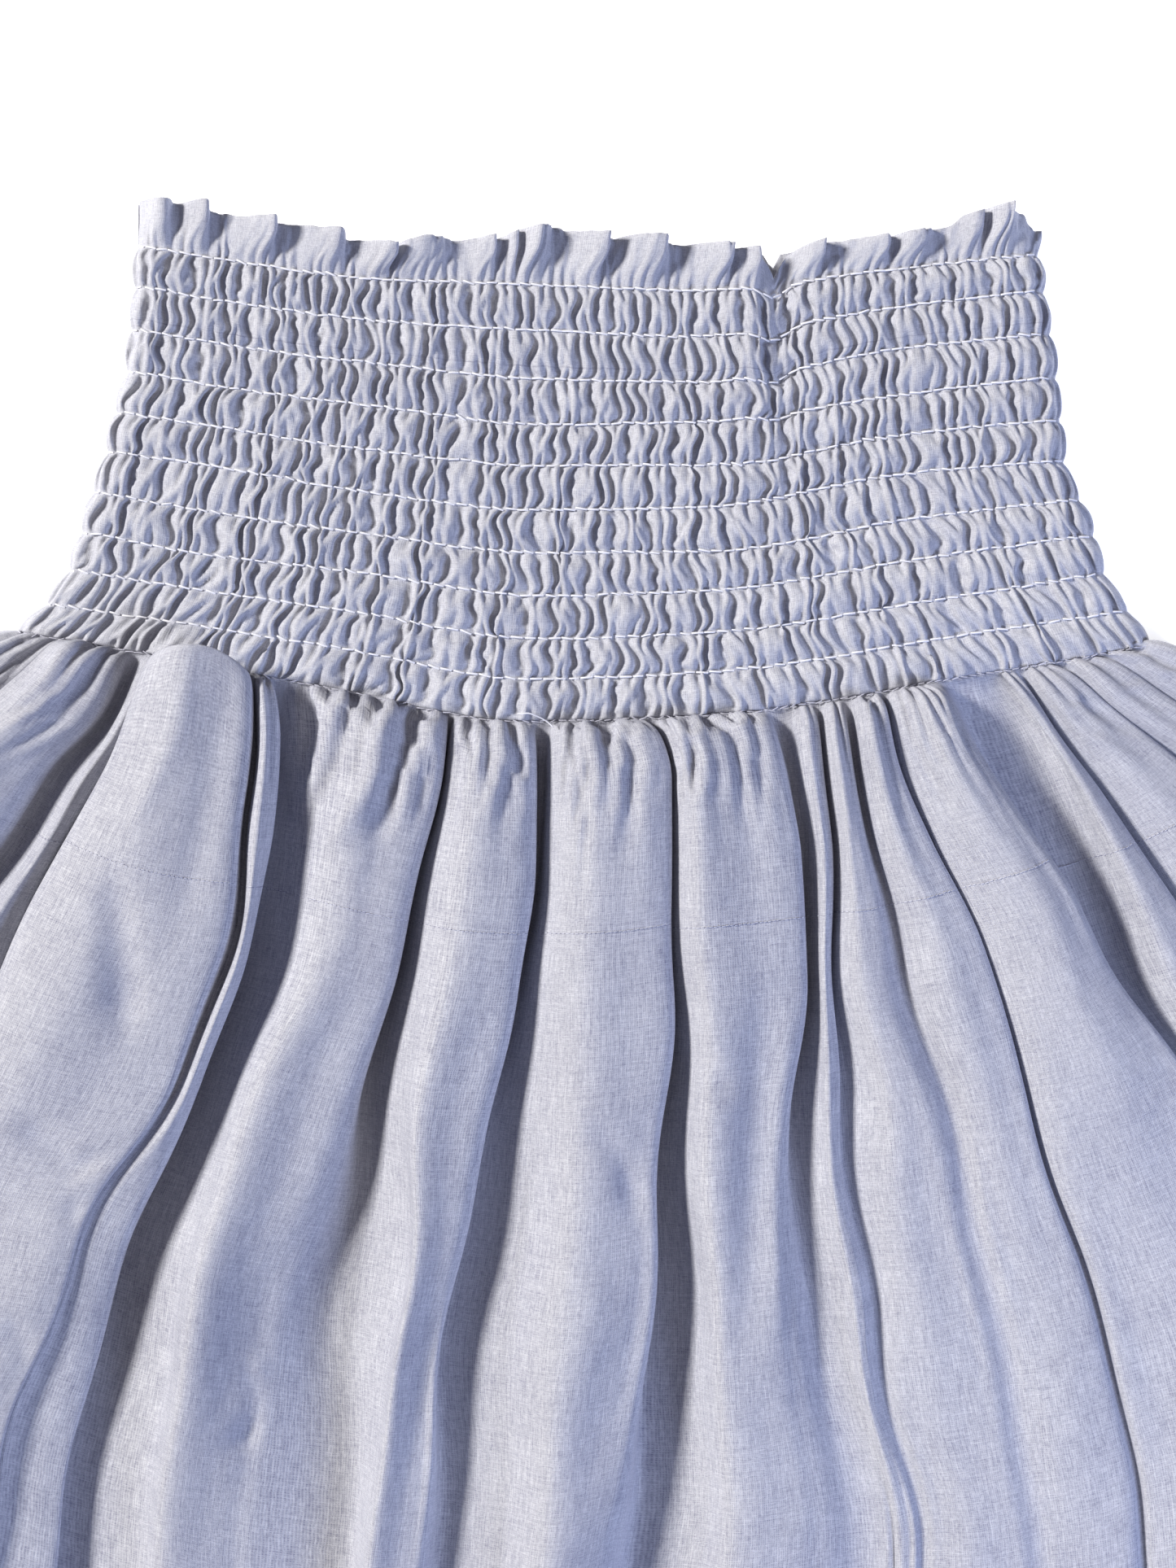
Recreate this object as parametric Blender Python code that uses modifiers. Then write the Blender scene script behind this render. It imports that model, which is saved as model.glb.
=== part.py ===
"""Maxi skirt laid flat: a shirred waist band with a ruffled header over a long gathered skirt.

The waist points to +Y, the hem to -Y and the front of the garment faces +Z. Sizes are in
millimetres up to the point where a mesh is made.
"""
import math
from collections import namedtuple

import bmesh
import bpy
import numpy as np

MM = 0.001

# Cloth walls
SKIRT_WALL = 1.0
HEM_WALL = 1.3
BAND_WALL = 1.2
BACK_BAND_WALL = 1.5
SEAM_GAP = 0.3
SEAM_EASE = 0.25

# Lengths along the cloth
SKIRT_LENGTH = 795.0
HEADER_DEPTH = 14.0

# Shirred band: how far the waist mouth is open and how the side turns over
MOUTH = 6.2
SIDE_REACH = 7.0
PUCKERS = 60
PUCKER_HEIGHT = 2.6
STITCH_PINCH = 0.7
HEADER_WAVES = 17
HEADER_LIFT = 3.2
HEADER_FLARE = 3.0
BACK_HEADER_WAVES = 13
BACK_HEADER_LIFT = 1.4

# The stitched rows of the band, header row first and joining seam last. Each has the x of
# its two ends and its y at seven places from the left end to the right end.
ROW_PLACES = (-1.0, -0.75, -0.45, -0.1, 0.25, 0.65, 1.0)
BandRow = namedtuple("BandRow", "left right y")
BAND_ROWS = (
    BandRow(-129.8, 132.1, (137.6, 132.2, 127.5, 125.9, 124.3, 129.9, 135.2)),
    BandRow(-130.5, 133.8, (125.7, 120.1, 115.3, 112.5, 110.9, 119.0, 124.5)),
    BandRow(-131.7, 135.7, (113.3, 107.5, 102.9, 98.4, 97.6, 106.9, 112.1)),
    BandRow(-132.9, 137.4, (101.0, 95.4, 90.4, 85.1, 86.1, 93.7, 99.3)),
    BandRow(-136.4, 138.6, (89.0, 83.7, 77.7, 73.1, 73.3, 81.9, 86.9)),
    BandRow(-138.8, 139.8, (77.6, 72.5, 65.3, 60.3, 61.1, 70.6, 74.8)),
    BandRow(-142.9, 144.5, (65.7, 59.4, 53.5, 47.7, 48.2, 57.5, 63.6)),
    BandRow(-146.4, 148.6, (54.0, 47.2, 42.0, 35.3, 36.8, 46.0, 53.0)),
    BandRow(-150.0, 151.7, (42.9, 37.0, 30.6, 22.7, 24.7, 33.5, 42.0)),
    BandRow(-157.1, 158.8, (32.9, 27.3, 19.8, 10.9, 13.4, 22.7, 31.0)),
    BandRow(-165.6, 165.8, (25.2, 17.9, 8.6, -1.2, 1.2, 11.3, 21.0)),
)

# Soft dent that runs down from the top of the front band
DENT_X = 57.0
DENT_WIDTH = 7.0
DENT_DEPTH = 2.6
DENT_FOOT = 70.0

# Pleats of the front skirt panel from left to right. `edge` is the x of the right edge and
# `gap` the distance on to the next pleat's flank, at the STATIONS along the cloth from the
# joining seam. `lift` is the crown height, `floor` the height of the valley after the pleat
# and `tuck` how far that valley runs back under the edge, at the HEIGHT_STATIONS. `crown`
# places the crest across the pleat, `puff` swells it over the band, `wide` adds a section.
STATIONS = (0.0, 20.0, 45.0, 80.0, 120.0, 180.0, 250.0, 795.0)
HEIGHT_STATIONS = (20.0, 80.0, 180.0, 250.0, 795.0)
SIDE_X = (165.2, 184.0, 208.0, 240.0, 271.0, 310.0, 346.0, 442.0)
Pleat = namedtuple("Pleat", "name edge gap lift floor tuck crown puff wide")
PLEATS = (
    Pleat("side_left", (-152, -167, -187.5, -215, -243, -273, -293, -368),
          (2.4, 2.4, 2.5, 3, 3.5, 4, 5, 24),
          (13, 15, 15, 14, 9), (3.4, 2.4, 2.2, 2.2, 2.4), (1.5, 2, 0, -2, -11), 0.45, 0, 0),
    Pleat("puff_left", (-132.5, -141.5, -159.6, -179.3, -199.6, -226.6, -251.5, -316),
          (2.6, 4.4, 8.5, 10.1, 10.1, 10.3, 10.1, 22),
          (19, 21, 20, 18, 10), (4.5, 3.2, 2.4, 2.2, 2.4), (-1, -3.5, -4, -4, -10), 0.5, 0.5, 1),
    Pleat("rib_left", (-122.5, -130.6, -144.4, -161.6, -178.4, -201.7, -222.5, -280),
          (2.4, 2.4, 2.4, 2.4, 2.4, 2.4, 2.4, 22),
          (12, 15, 14, 13, 9), (3.4, 2.2, 2.0, 2.0, 2.4), (-2.5, -3.5, -3.5, -3.5, -11), 0.5, 0, 0),
    Pleat("big_left", (-98, -96.5, -100.2, -105.5, -119, -142, -164, -240),
          (2.4, 2.4, 3, 4, 5, 6, 7, 14),
          (26, 27, 22, 19, 10), (8.5, 16, 18.6, 16.6, 9), (1, -2, -3, -3, -7), 0.38, 5.5, 1),
    Pleat("big_right", (-91, -88.6, -90.2, -98.4, -110.3, -130.4, -148.9, -205),
          (2.4, 2.4, 2.5, 4, 3.6, 12.7, 19.1, 26),
          (22, 24, 20, 17, 9.5), (4, 2.2, 2.0, 2.0, 2.4), (2, 3.5, 4.5, 4, -12), 0.5, 2, 0),
    Pleat("second", (-39.3, -41.6, -47.8, -55.3, -66.8, -87.5, -96.9, -138),
          (2.4, 2.4, 4.2, 4.3, 10.6, 23.5, 21.8, 26),
          (18, 19, 18, 16, 9), (4, 2.2, 2.2, 2.4, 2.4), (2, 2.5, -15, -15, -13), 0.45, 0.5, 1),
    Pleat("third", (-14.8, -14.5, -14.7, -19, -27.3, -40.6, -47.2, -74),
          (6, 4.1, 2.4, 4.2, 9.6, 12.4, 16.5, 26),
          (19, 21, 19, 16, 9), (4, 2.2, 2.0, 2.2, 2.4), (-1, 3.5, 3, -3, -13), 0.42, 1, 1),
    Pleat("middle", (19.3, 25.4, 25.5, 26.1, 23.8, 19.9, 8.1, -8),
          (2.4, 2.4, 2.4, 2.6, 4.3, 9.1, 21.5, 28),
          (20, 21, 19, 16, 9), (4, 2.2, 2.0, 2.2, 2.4), (2, 3.5, 2, -5, -14), 0.45, 1, 1),
    Pleat("fifth", (53.1, 58, 63.1, 65, 60, 62, 70, 62),
          (8.3, 6.4, 5, 2.6, 8.4, 14.7, 19.6, 26),
          (20, 21, 18, 16, 9), (4.5, 2.4, 2.2, 2.2, 2.4), (-3, 1.5, -9, -13, -13), 0.4, 1, 1),
    Pleat("rib_right", (68.4, 70.2, 72.8, 73.4, 74.2, 82.4, 95.4, 112),
          (2.4, 2.4, 2.4, 2.6, 6.4, 6, 5.4, 24),
          (14, 15, 14, 13, 9), (6, 3.4, 2.8, 2.6, 2.4), (0.8, 0.8, -1, -1, -12), 0.5, 0.5, 0),
    Pleat("sixth_rib", (76.2, 78.6, 82.6, 90.3, 100, 113, 127, 156),
          (2.6, 3, 4, 7, 8, 10, 10, 14),
          (16, 17, 16, 15, 9), (7, 10, 13.5, 13.6, 8), (-0.8, -3, -4, -4, -7), 0.5, 0, 0),
    Pleat("sixth", (87.6, 91.4, 101, 116.5, 127.1, 143.5, 160.5, 202),
          (2.4, 2.6, 2.6, 3.2, 4.8, 4.7, 3.6, 24),
          (19, 20, 18, 16, 9), (4, 2.2, 2.0, 2.0, 2.4), (2, 3.2, 3, 2, -12), 0.5, 0.5, 1),
    Pleat("seventh", (103.5, 112.6, 126.4, 144.3, 166, 195.6, 223.5, 258),
          (15, 17, 13.1, 6.1, 5.2, 5.8, 7, 22),
          (17, 20, 19, 17, 10), (4.5, 2.4, 2.0, 2.0, 2.4), (-6, 3, 3, 2, -11), 0.45, 0.5, 1),
    Pleat("eighth", (127, 137.2, 151.9, 171.3, 192.6, 221.8, 252.3, 304),
          (2.4, 2.4, 3.2, 3.5, 3.5, 3.6, 3.7, 22),
          (13, 16, 16, 15, 10), (4, 2.4, 2.2, 2.0, 2.4), (1, 2, 2, 1, -11), 0.5, 0, 0),
    Pleat("ninth", (138, 152.4, 172.2, 198.8, 224.6, 255.4, 285.9, 348),
          (2.4, 2.5, 3, 3.5, 4, 4, 5, 22),
          (13, 15, 15, 14, 9), (3.6, 2.4, 2.2, 2.2, 2.4), (1, 2, 1, 0, -11), 0.5, 0, 0),
    Pleat("tenth", (149.5, 166, 187, 214.4, 242.9, 276.7, 309.9, 390),
          (2.4, 2.5, 3, 3.5, 4, 4, 5, 22),
          (12, 14, 14, 13, 9), (3.4, 2.4, 2.2, 2.2, 2.4), (1, 2, 1, 0, -11), 0.5, 0, 0),
    Pleat("side_right", SIDE_X, (0,) * 8,
          (12, 14, 14, 13, 9), (3.4, 2.4, 2.2, 2.2, 2.4), (0, 0, 0, 0, 0), 0.55, 0, 0),
)
MIN_FOLD = 2.4

# Rows of the skirt meshes along the cloth from the joining seam
FRONT_ROWS = (0, 6, 14, 28, 50, 80, 118, 162, 214, 280, 380, 540, 773, 775, 795)
BACK_ROWS = (0, 14, 40, 75, 120, 180, 270, 420, 773, 775, 795)

# Tucks of the back panel stand under these pleats of the front; the middle pleat stays open
BACK_TUCKS = ("puff_left", "big_left", "second", "third", "fifth", "sixth", "seventh", "ninth")
TUCK_HEIGHT = 4.6
TUCK_HALF = 4.4
TUCK_CREST = 1.9

# Swell of the skirt's shoulder beyond the ends of the band
SHOULDER_RISE = 4.0
SHOULDER_AT = 13.0


def smooth(knots: tuple, values: np.ndarray, at: np.ndarray) -> np.ndarray:
    """Run a curve without overshoot through values (last axis) given at knots."""
    knots = np.asarray(knots, dtype=float)
    values = np.asarray(values, dtype=float)
    step = np.diff(knots)
    slope = np.diff(values, axis=-1) / step
    tangent = np.zeros_like(values)
    tangent[..., 0] = slope[..., 0]
    tangent[..., -1] = slope[..., -1]
    before = slope[..., :-1]
    after = slope[..., 1:]
    agree = before * after > 0
    total = np.where(agree, before + after, 1.0)
    tangent[..., 1:-1] = np.where(agree, 2 * before * after / total, 0.0)
    at = np.clip(at, knots[0], knots[-1])
    place = np.clip(np.searchsorted(knots, at, side="right") - 1, 0, len(step) - 1)
    t = (at - knots[place]) / step[place]
    run = step[place]
    return (values[..., place] * (1 + 2 * t) * (1 - t) ** 2
            + tangent[..., place] * run * t * (1 - t) ** 2
            + values[..., place + 1] * t * t * (3 - 2 * t)
            + tangent[..., place + 1] * run * t * t * (t - 1))


def seam_y(x: np.ndarray) -> np.ndarray:
    """Return the y of the joining seam at x."""
    seam = BAND_ROWS[-1]
    middle = (seam.left + seam.right) / 2
    half = (seam.right - seam.left) / 2
    return smooth(ROW_PLACES, seam.y, (np.asarray(x) - middle) / half)


def band_height(inset: np.ndarray) -> np.ndarray:
    """Return the height of the front wall's middle at a distance in from its side."""
    low = BACK_BAND_WALL + SEAM_GAP
    rise = BACK_BAND_WALL + MOUTH + BAND_WALL / 2 - low
    t = 1 - np.clip(inset, 0, SIDE_REACH) / SIDE_REACH
    return low + rise * np.sqrt(1 - t * t)


def seam_height(x: np.ndarray) -> np.ndarray:
    """Return the height of the joining seam at x."""
    return band_height(SIDE_X[0] - np.abs(x))


def cloth_paths(x: np.ndarray) -> np.ndarray:
    """Turn x along the cloth (lines by millimetres) into y, keeping each line's length."""
    slope = np.diff(x, axis=1)
    advance = np.sqrt(np.clip(1 - slope * slope, 0.02, 1))
    run = np.concatenate([np.zeros((len(x), 1)), np.cumsum(advance, axis=1)], axis=1)
    distance = np.arange(x.shape[1])
    weight = (np.abs(x[:, :1]) / SIDE_X[0]) ** 8
    swell = distance / SHOULDER_AT * np.exp(1 - distance / SHOULDER_AT)
    start = seam_y(x[:, :1]) - SEAM_GAP / 2 - SEAM_EASE * (1 + 3.5 * weight)
    return start - run + SHOULDER_RISE * weight * swell


def fold_lines() -> tuple:
    """Lay out the front panel's fold lines for every millimetre of cloth from the seam.

    Returns the x, y and z of each line, and how many points each gap between lines gets.
    """
    distance = np.arange(int(SKIRT_LENGTH) + 1, dtype=float)
    crown_rise = 1 - np.exp(-(distance / 9) ** 1.3)
    floor_fall = 1 - np.exp(-distance / 8)
    fold_rise = 1 - np.exp(-(distance / 14) ** 1.5)
    side = smooth(STATIONS, SIDE_X, distance)
    side_low = 1.3 + 0.3 * np.clip((distance - 740) / 30, 0, 1)
    base_low = BACK_BAND_WALL + SEAM_GAP
    ease = np.exp(-distance / 10)
    low = side_low * (1 - ease) + base_low * ease
    lines = []
    extra = []

    def add(x: np.ndarray, z: np.ndarray, puff: float, more: int) -> None:
        lines.append((x, z, puff))
        extra.append(more)

    def rising(x: np.ndarray, height: np.ndarray, rise: np.ndarray) -> np.ndarray:
        start = seam_height(x)
        return start + (height - start) * rise

    add(-side, low, 0.0, 0)
    add(-side + 1.0, rising(-side + 1.0, 5.5 + 0 * side, crown_rise), 0.0, 0)
    flank = -side + 1.0
    for number, pleat in enumerate(PLEATS):
        last = number == len(PLEATS) - 1
        edge = smooth(STATIONS, pleat.edge, distance)
        gap = smooth(STATIONS, pleat.gap, distance)
        lift = smooth(HEIGHT_STATIONS, pleat.lift, distance)
        floor = smooth(HEIGHT_STATIONS, pleat.floor, distance)
        tuck = smooth(HEIGHT_STATIONS, pleat.tuck, distance)
        slant = np.gradient(edge)
        least = MIN_FOLD / np.sqrt(np.clip(1 - slant * slant, 0.2, 1))
        brow = edge - 1.0 if last else edge - 0.5 * np.clip(least - gap, 0, None)
        width = brow - flank
        crest = flank + width * (pleat.crown - 0.14)
        back = flank + width * (pleat.crown + 0.26)
        add(crest, rising(crest, lift, crown_rise), pleat.puff, pleat.wide)
        add(back, rising(back, 0.94 * lift, crown_rise), pleat.puff, 0)
        if last:
            add(side - 1.0, rising(side - 1.0, 5.5 + 0 * side, crown_rise), 0.0, 0)
            add(side, low, 0.0, 0)
            break
        after = PLEATS[number + 1]
        next_lift = smooth(HEIGHT_STATIONS, after.lift, distance)
        soft = np.clip(-tuck / 10, 0, 1)
        brow_height = floor + (lift - floor) * (0.5 + 0.22 * soft)
        flank_height = floor + (next_lift - floor) * (0.55 - 0.1 * soft)
        fold = np.maximum(gap, least)
        flank = brow + fold
        bed = np.maximum(least, 0.25 * fold)
        bed_start = brow + fold_rise * -tuck + (1 - fold_rise) * fold * 0.33
        bed_end = bed_start + fold_rise * bed + (1 - fold_rise) * fold * 0.33
        add(brow, rising(brow, brow_height, crown_rise), 0.6 * pleat.puff, 0)
        add(bed_start, rising(bed_start, floor, floor_fall), 0.0, 0)
        add(bed_end, rising(bed_end, floor, floor_fall), 0.0, 0)
        add(flank, rising(flank, flank_height, crown_rise), 0.6 * after.puff, after.wide)
    x = np.array([line[0] for line in lines])
    z = np.array([line[1] for line in lines])
    puff = np.array([[line[2]] for line in lines])
    swell = np.exp(-((distance - 18) / 14) ** 2) * (1 - np.exp(-distance / 5))
    y = cloth_paths(x) + puff * swell
    return x, y, z, extra[:-1]


def through(points: np.ndarray, extra: list) -> np.ndarray:
    """Fill a section (points by 3) with extra points on a smooth curve between its knots."""
    reach = np.linalg.norm(np.diff(points, axis=0), axis=1) ** 0.5
    place = np.concatenate([[0.0], np.cumsum(np.maximum(reach, 1e-3))])
    slope = np.diff(points, axis=0) / np.diff(place)[:, None]
    tangent = np.vstack([slope[:1], (slope[:-1] + slope[1:]) / 2, slope[-1:]])
    filled = []
    for number, more in enumerate(extra):
        run = place[number + 1] - place[number]
        for t in np.arange(more + 1) / (more + 1):
            filled.append(points[number] * (1 + 2 * t) * (1 - t) ** 2
                          + tangent[number] * run * t * (1 - t) ** 2
                          + points[number + 1] * t * t * (3 - 2 * t)
                          + tangent[number + 1] * run * t * t * (t - 1))
    filled.append(points[-1])
    return np.array(filled)


def front_panel() -> np.ndarray:
    """Return the middle surface of the front skirt panel (rows by columns by 3)."""
    x, y, z, extra = fold_lines()
    rows = [through(np.stack([x[:, d], y[:, d], z[:, d]], axis=1), extra) for d in FRONT_ROWS]
    return np.array(rows)


def back_panel() -> np.ndarray:
    """Return the underside of the back skirt panel (rows by columns by 3)."""
    distance = np.arange(int(SKIRT_LENGTH) + 1, dtype=float)
    side = smooth(STATIONS, SIDE_X, distance) + SKIRT_WALL / 2
    height = TUCK_HEIGHT * (1 - np.exp(-distance / 30)) * (1 - 0.25 * distance / SKIRT_LENGTH)
    ease = 1 - np.exp(-distance / 12)
    columns = [(-side, 0 * side)]
    flank = -side
    for pleat in PLEATS[:-1]:
        edge = smooth(STATIONS, pleat.edge, distance)
        if pleat.name in BACK_TUCKS:
            middle = 0.5 * (flank + edge)
            foot = TUCK_HALF * (0.4 + 0.6 * ease)
            crest = TUCK_CREST * (0.4 + 0.6 * ease)
            between = (columns[-1][0] + middle - foot) / 2
            columns += [(between, 0 * side), (middle - foot, 0 * side),
                        (middle - crest, height), (middle + crest, height),
                        (middle + foot, 0 * side)]
        flank = edge + np.maximum(smooth(STATIONS, pleat.gap, distance), MIN_FOLD)
    columns += [((columns[-1][0] + side) / 2, 0 * side), (side, 0 * side)]
    x = np.array([column[0] for column in columns])
    z = np.array([column[1] for column in columns])
    y = cloth_paths(x)
    return np.array([np.stack([x[:, d], y[:, d], z[:, d]], axis=1) for d in BACK_ROWS])


def band_line(level: float, places: np.ndarray) -> tuple:
    """Return x ends and y at places for a level of the band: 0 at the header row, 10 at the seam.

    A level below 0 lies in the header, where -1 is the top edge.
    """
    table = np.array([[row.left, row.right, *row.y] for row in BAND_ROWS])
    values = smooth(range(len(BAND_ROWS)), table.T, np.array([max(level, 0.0)]))[:, 0]
    if level < 0:
        values[2:] -= level * HEADER_DEPTH
        values[0] += 1.6 * level
        values[1] -= 1.6 * level
    if level == len(BAND_ROWS) - 1:
        values[2:] += SEAM_GAP / 2
    return values[0], values[1], smooth(ROW_PLACES, values[2:], places)


def band_section(level: float, parts: np.ndarray) -> tuple:
    """Return the middle points and outward normals of the front band at a level."""
    left, right, _ = band_line(level, np.zeros(1))
    left += BAND_WALL / 2
    right -= BAND_WALL / 2
    rise = float(band_height(np.array(SIDE_REACH)) - band_height(np.array(0.0)))
    turn = math.pi / 4 * (SIDE_REACH + rise)
    flat = right - left - 2 * SIDE_REACH
    along = parts * (flat + 2 * turn)
    angle_left = np.clip(along / turn, 0, 1) * math.pi / 2
    angle_right = np.clip((flat + 2 * turn - along) / turn, 0, 1) * math.pi / 2
    x = left + SIDE_REACH * (1 - np.cos(angle_left)) + np.clip(along - turn, 0, flat)
    x = x - SIDE_REACH * (1 - np.cos(angle_right)) + SIDE_REACH
    z = BACK_BAND_WALL + SEAM_GAP + rise * (np.sin(angle_left) + np.sin(angle_right) - 1)
    normal = np.stack([np.cos(angle_right) - np.cos(angle_left), 0 * x,
                       np.sin(angle_left) + np.sin(angle_right) - 1], axis=1)
    normal /= np.linalg.norm(normal, axis=1)[:, None]
    middle = (left + right) / 2
    _, _, y = band_line(level, (x - middle) / ((right - left) / 2))
    fade = np.clip((y - DENT_FOOT) / 60, 0, 1)
    z -= DENT_DEPTH * fade * np.exp(-((x - DENT_X) / DENT_WIDTH) ** 2)
    return np.stack([x, y, z], axis=1), normal


def header_wave(level: float, parts: np.ndarray) -> np.ndarray:
    """Return how far the header's ruffle stands off the middle, full at the top edge."""
    reach = max(-level, 0.0) ** 0.8
    wander = 0.9 * np.sin(2 * math.pi * 2.3 * parts + 0.7)
    ends = np.clip(np.minimum(parts, 1 - parts) / 0.06, 0, 1)
    wave = np.sin(2 * math.pi * HEADER_WAVES * parts + wander)
    size = 0.8 + 0.2 * np.sin(2 * math.pi * 5.1 * parts + 1.0)
    return reach * ends * (HEADER_LIFT * size * wave + HEADER_FLARE)


def add_strip(faces: list, first: list, second: list) -> None:
    """Join two rows of equal length with quads."""
    for number in range(len(first) - 1):
        faces.append((first[number], first[number + 1], second[number + 1], second[number]))


def add_zip(faces: list, first: list, second: list, places: tuple, flip: bool) -> None:
    """Join two rows of unlike length with triangles, keeping pace by the places along each."""
    first_at, second_at = places
    a = 0
    b = 0
    while a < len(first) - 1 or b < len(second) - 1:
        if b == len(second) - 1:
            step = True
        elif a == len(first) - 1:
            step = False
        else:
            step = first_at[a + 1] + first_at[a] <= second_at[b + 1] + second_at[b]
        if step:
            face = (first[a], first[a + 1], second[b])
            a += 1
        else:
            face = (first[a], second[b + 1], second[b])
            b += 1
        faces.append(face[::-1] if flip else face)


def front_band() -> tuple:
    """Build the smocked front band: raised outer points over a plain inside.

    Returns the points and faces of the closed wall.
    """
    rng = np.random.default_rng(7)
    count = 2 * PUCKERS + 1
    jitter = rng.uniform(-0.22, 0.22, count) / (count - 1)
    parts = np.linspace(0, 1, count) + jitter
    parts[0] = 0.0
    parts[-1] = 1.0
    levels = [-1.0, -0.5] + [0.5 * step for step in range(21)]
    points = []
    outer = []
    inner_header = []
    for level in levels:
        middle, normal = band_section(level, parts)
        middle[:, 2] += header_wave(level, parts)
        ridge = np.arange(count) % 2
        between = (level * 2) % 2
        if level < 0:
            raised = STITCH_PINCH * ridge * (1 + level)
        elif between:
            raised = PUCKER_HEIGHT * ridge * rng.uniform(0.7, 1.15, count)
        else:
            raised = STITCH_PINCH * ridge
        raised[0] = 0.0
        raised[-1] = 0.0
        outside = middle + normal * (BAND_WALL / 2 + raised)[:, None]
        outer.append(list(range(len(points), len(points) + count)))
        points.extend(outside)
        if level <= 0 or level == levels[-1]:
            inner_header.append(list(range(len(points), len(points) + count)))
            points.extend(middle - normal * BAND_WALL / 2)
    coarse = np.array([0, 1, 2, 3, 5, 9, 18, 30, 42, 54, 66, 74, 79, 83, 87, 92, 98, 106, 112,
                       115, 117, 118, 119, 120])
    inner = []
    inner_levels = [0.18, 2.0, 4.0, 5.0, 6.0, 7.0, 8.0, 9.0, 9.8]
    for level in inner_levels:
        middle, normal = band_section(level, parts[coarse])
        inner.append(list(range(len(points), len(points) + len(coarse))))
        points.extend(middle - normal * BAND_WALL / 2)
    faces = []
    for number in range(len(outer) - 1):
        add_strip(faces, outer[number + 1], outer[number])
    seam_inside = inner_header.pop()
    for number in range(len(inner_header) - 1):
        add_strip(faces, inner_header[number], inner_header[number + 1])
    for number in range(len(inner) - 1):
        add_strip(faces, inner[number], inner[number + 1])
    add_strip(faces, outer[0], inner_header[0])
    add_strip(faces, seam_inside, outer[-1])
    pick = [int(number) for number in coarse]
    for start, end, column in zip(pick[:-1], pick[1:], range(len(pick) - 1)):
        places = (list(range(start, end + 1)), [start, end])
        header = inner_header[-1][start:end + 1]
        add_zip(faces, header, inner[0][column:column + 2], places, True)
        seam = seam_inside[start:end + 1]
        add_zip(faces, seam, inner[-1][column:column + 2], places, False)
    for end in (0, -1):
        outside = [row[end] for row in outer]
        inside = [row[end] for row in inner_header + inner + [seam_inside]]
        places = (levels, levels[:3] + inner_levels + levels[-1:])
        add_zip(faces, outside, inside, places, end == 0)
    return np.array(points), faces


def back_band() -> np.ndarray:
    """Return the underside of the back band (rows by columns by 3)."""
    parts = np.linspace(-1, 1, 4 * BACK_HEADER_WAVES + 1)
    rows = []
    for level in (-1.0, -0.5, 0.0, 2.5, 5.0, 7.5, 10.0):
        left, right, y = band_line(level, parts)
        x = (left + right) / 2 + (right - left) / 2 * parts
        reach = max(-level, 0.0)
        ends = np.clip((1 - np.abs(parts)) / 0.08, 0, 1)
        wave = 0.5 - 0.5 * np.cos(math.pi * BACK_HEADER_WAVES * (parts + 1))
        z = BACK_HEADER_LIFT * reach * ends * wave
        rows.append(np.stack([x, y, z], axis=1))
    return np.array(rows)


def make_object(name: str, points: np.ndarray, faces: list, colour: tuple,
                home: bpy.types.Collection) -> bpy.types.Object:
    """Make a mesh object with its own cloth material."""
    mesh = bpy.data.meshes.new(name)
    mesh.from_pydata([tuple(point * MM) for point in points], [], faces)
    mesh.update()
    cloth = bpy.data.materials.new(name + "_cloth")
    cloth.use_nodes = True
    shader = cloth.node_tree.nodes["Principled BSDF"]
    shader.inputs["Base Color"].default_value = (*colour, 1.0)
    shader.inputs["Roughness"].default_value = 0.85
    mesh.materials.append(cloth)
    item = bpy.data.objects.new(name, mesh)
    home.objects.link(item)
    return item


def make_sheet(name: str, surface: np.ndarray, wall: float, even: bool, hem_rows: int,
               colour: tuple, home: bpy.types.Collection) -> bpy.types.Object:
    """Make a wall from an open surface, thicker over the last rows where the hem is turned."""
    rows, columns, _ = surface.shape
    faces = []
    for number in range(rows - 1):
        upper = list(range(number * columns, (number + 1) * columns))
        lower = list(range((number + 1) * columns, (number + 2) * columns))
        add_strip(faces, lower, upper)
    item = make_object(name, surface.reshape(-1, 3), faces, colour, home)
    solidify = item.modifiers.new("wall", "SOLIDIFY")
    solidify.thickness = wall * MM
    solidify.offset = 1.0 if even else 0.0
    solidify.use_even_offset = even
    solidify.use_quality_normals = True
    if hem_rows:
        hem = item.vertex_groups.new(name="hem")
        hem.add(list(range((rows - hem_rows) * columns, rows * columns)), 1.0, "REPLACE")
        solidify.thickness = HEM_WALL * MM
        solidify.vertex_group = "hem"
        solidify.thickness_vertex_group = wall / HEM_WALL
    return item


def orient(item: bpy.types.Object) -> None:
    """Turn a closed mesh's faces outward."""
    work = bmesh.new()
    work.from_mesh(item.data)
    bmesh.ops.recalc_face_normals(work, faces=work.faces)
    work.to_mesh(item.data)
    work.free()


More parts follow.
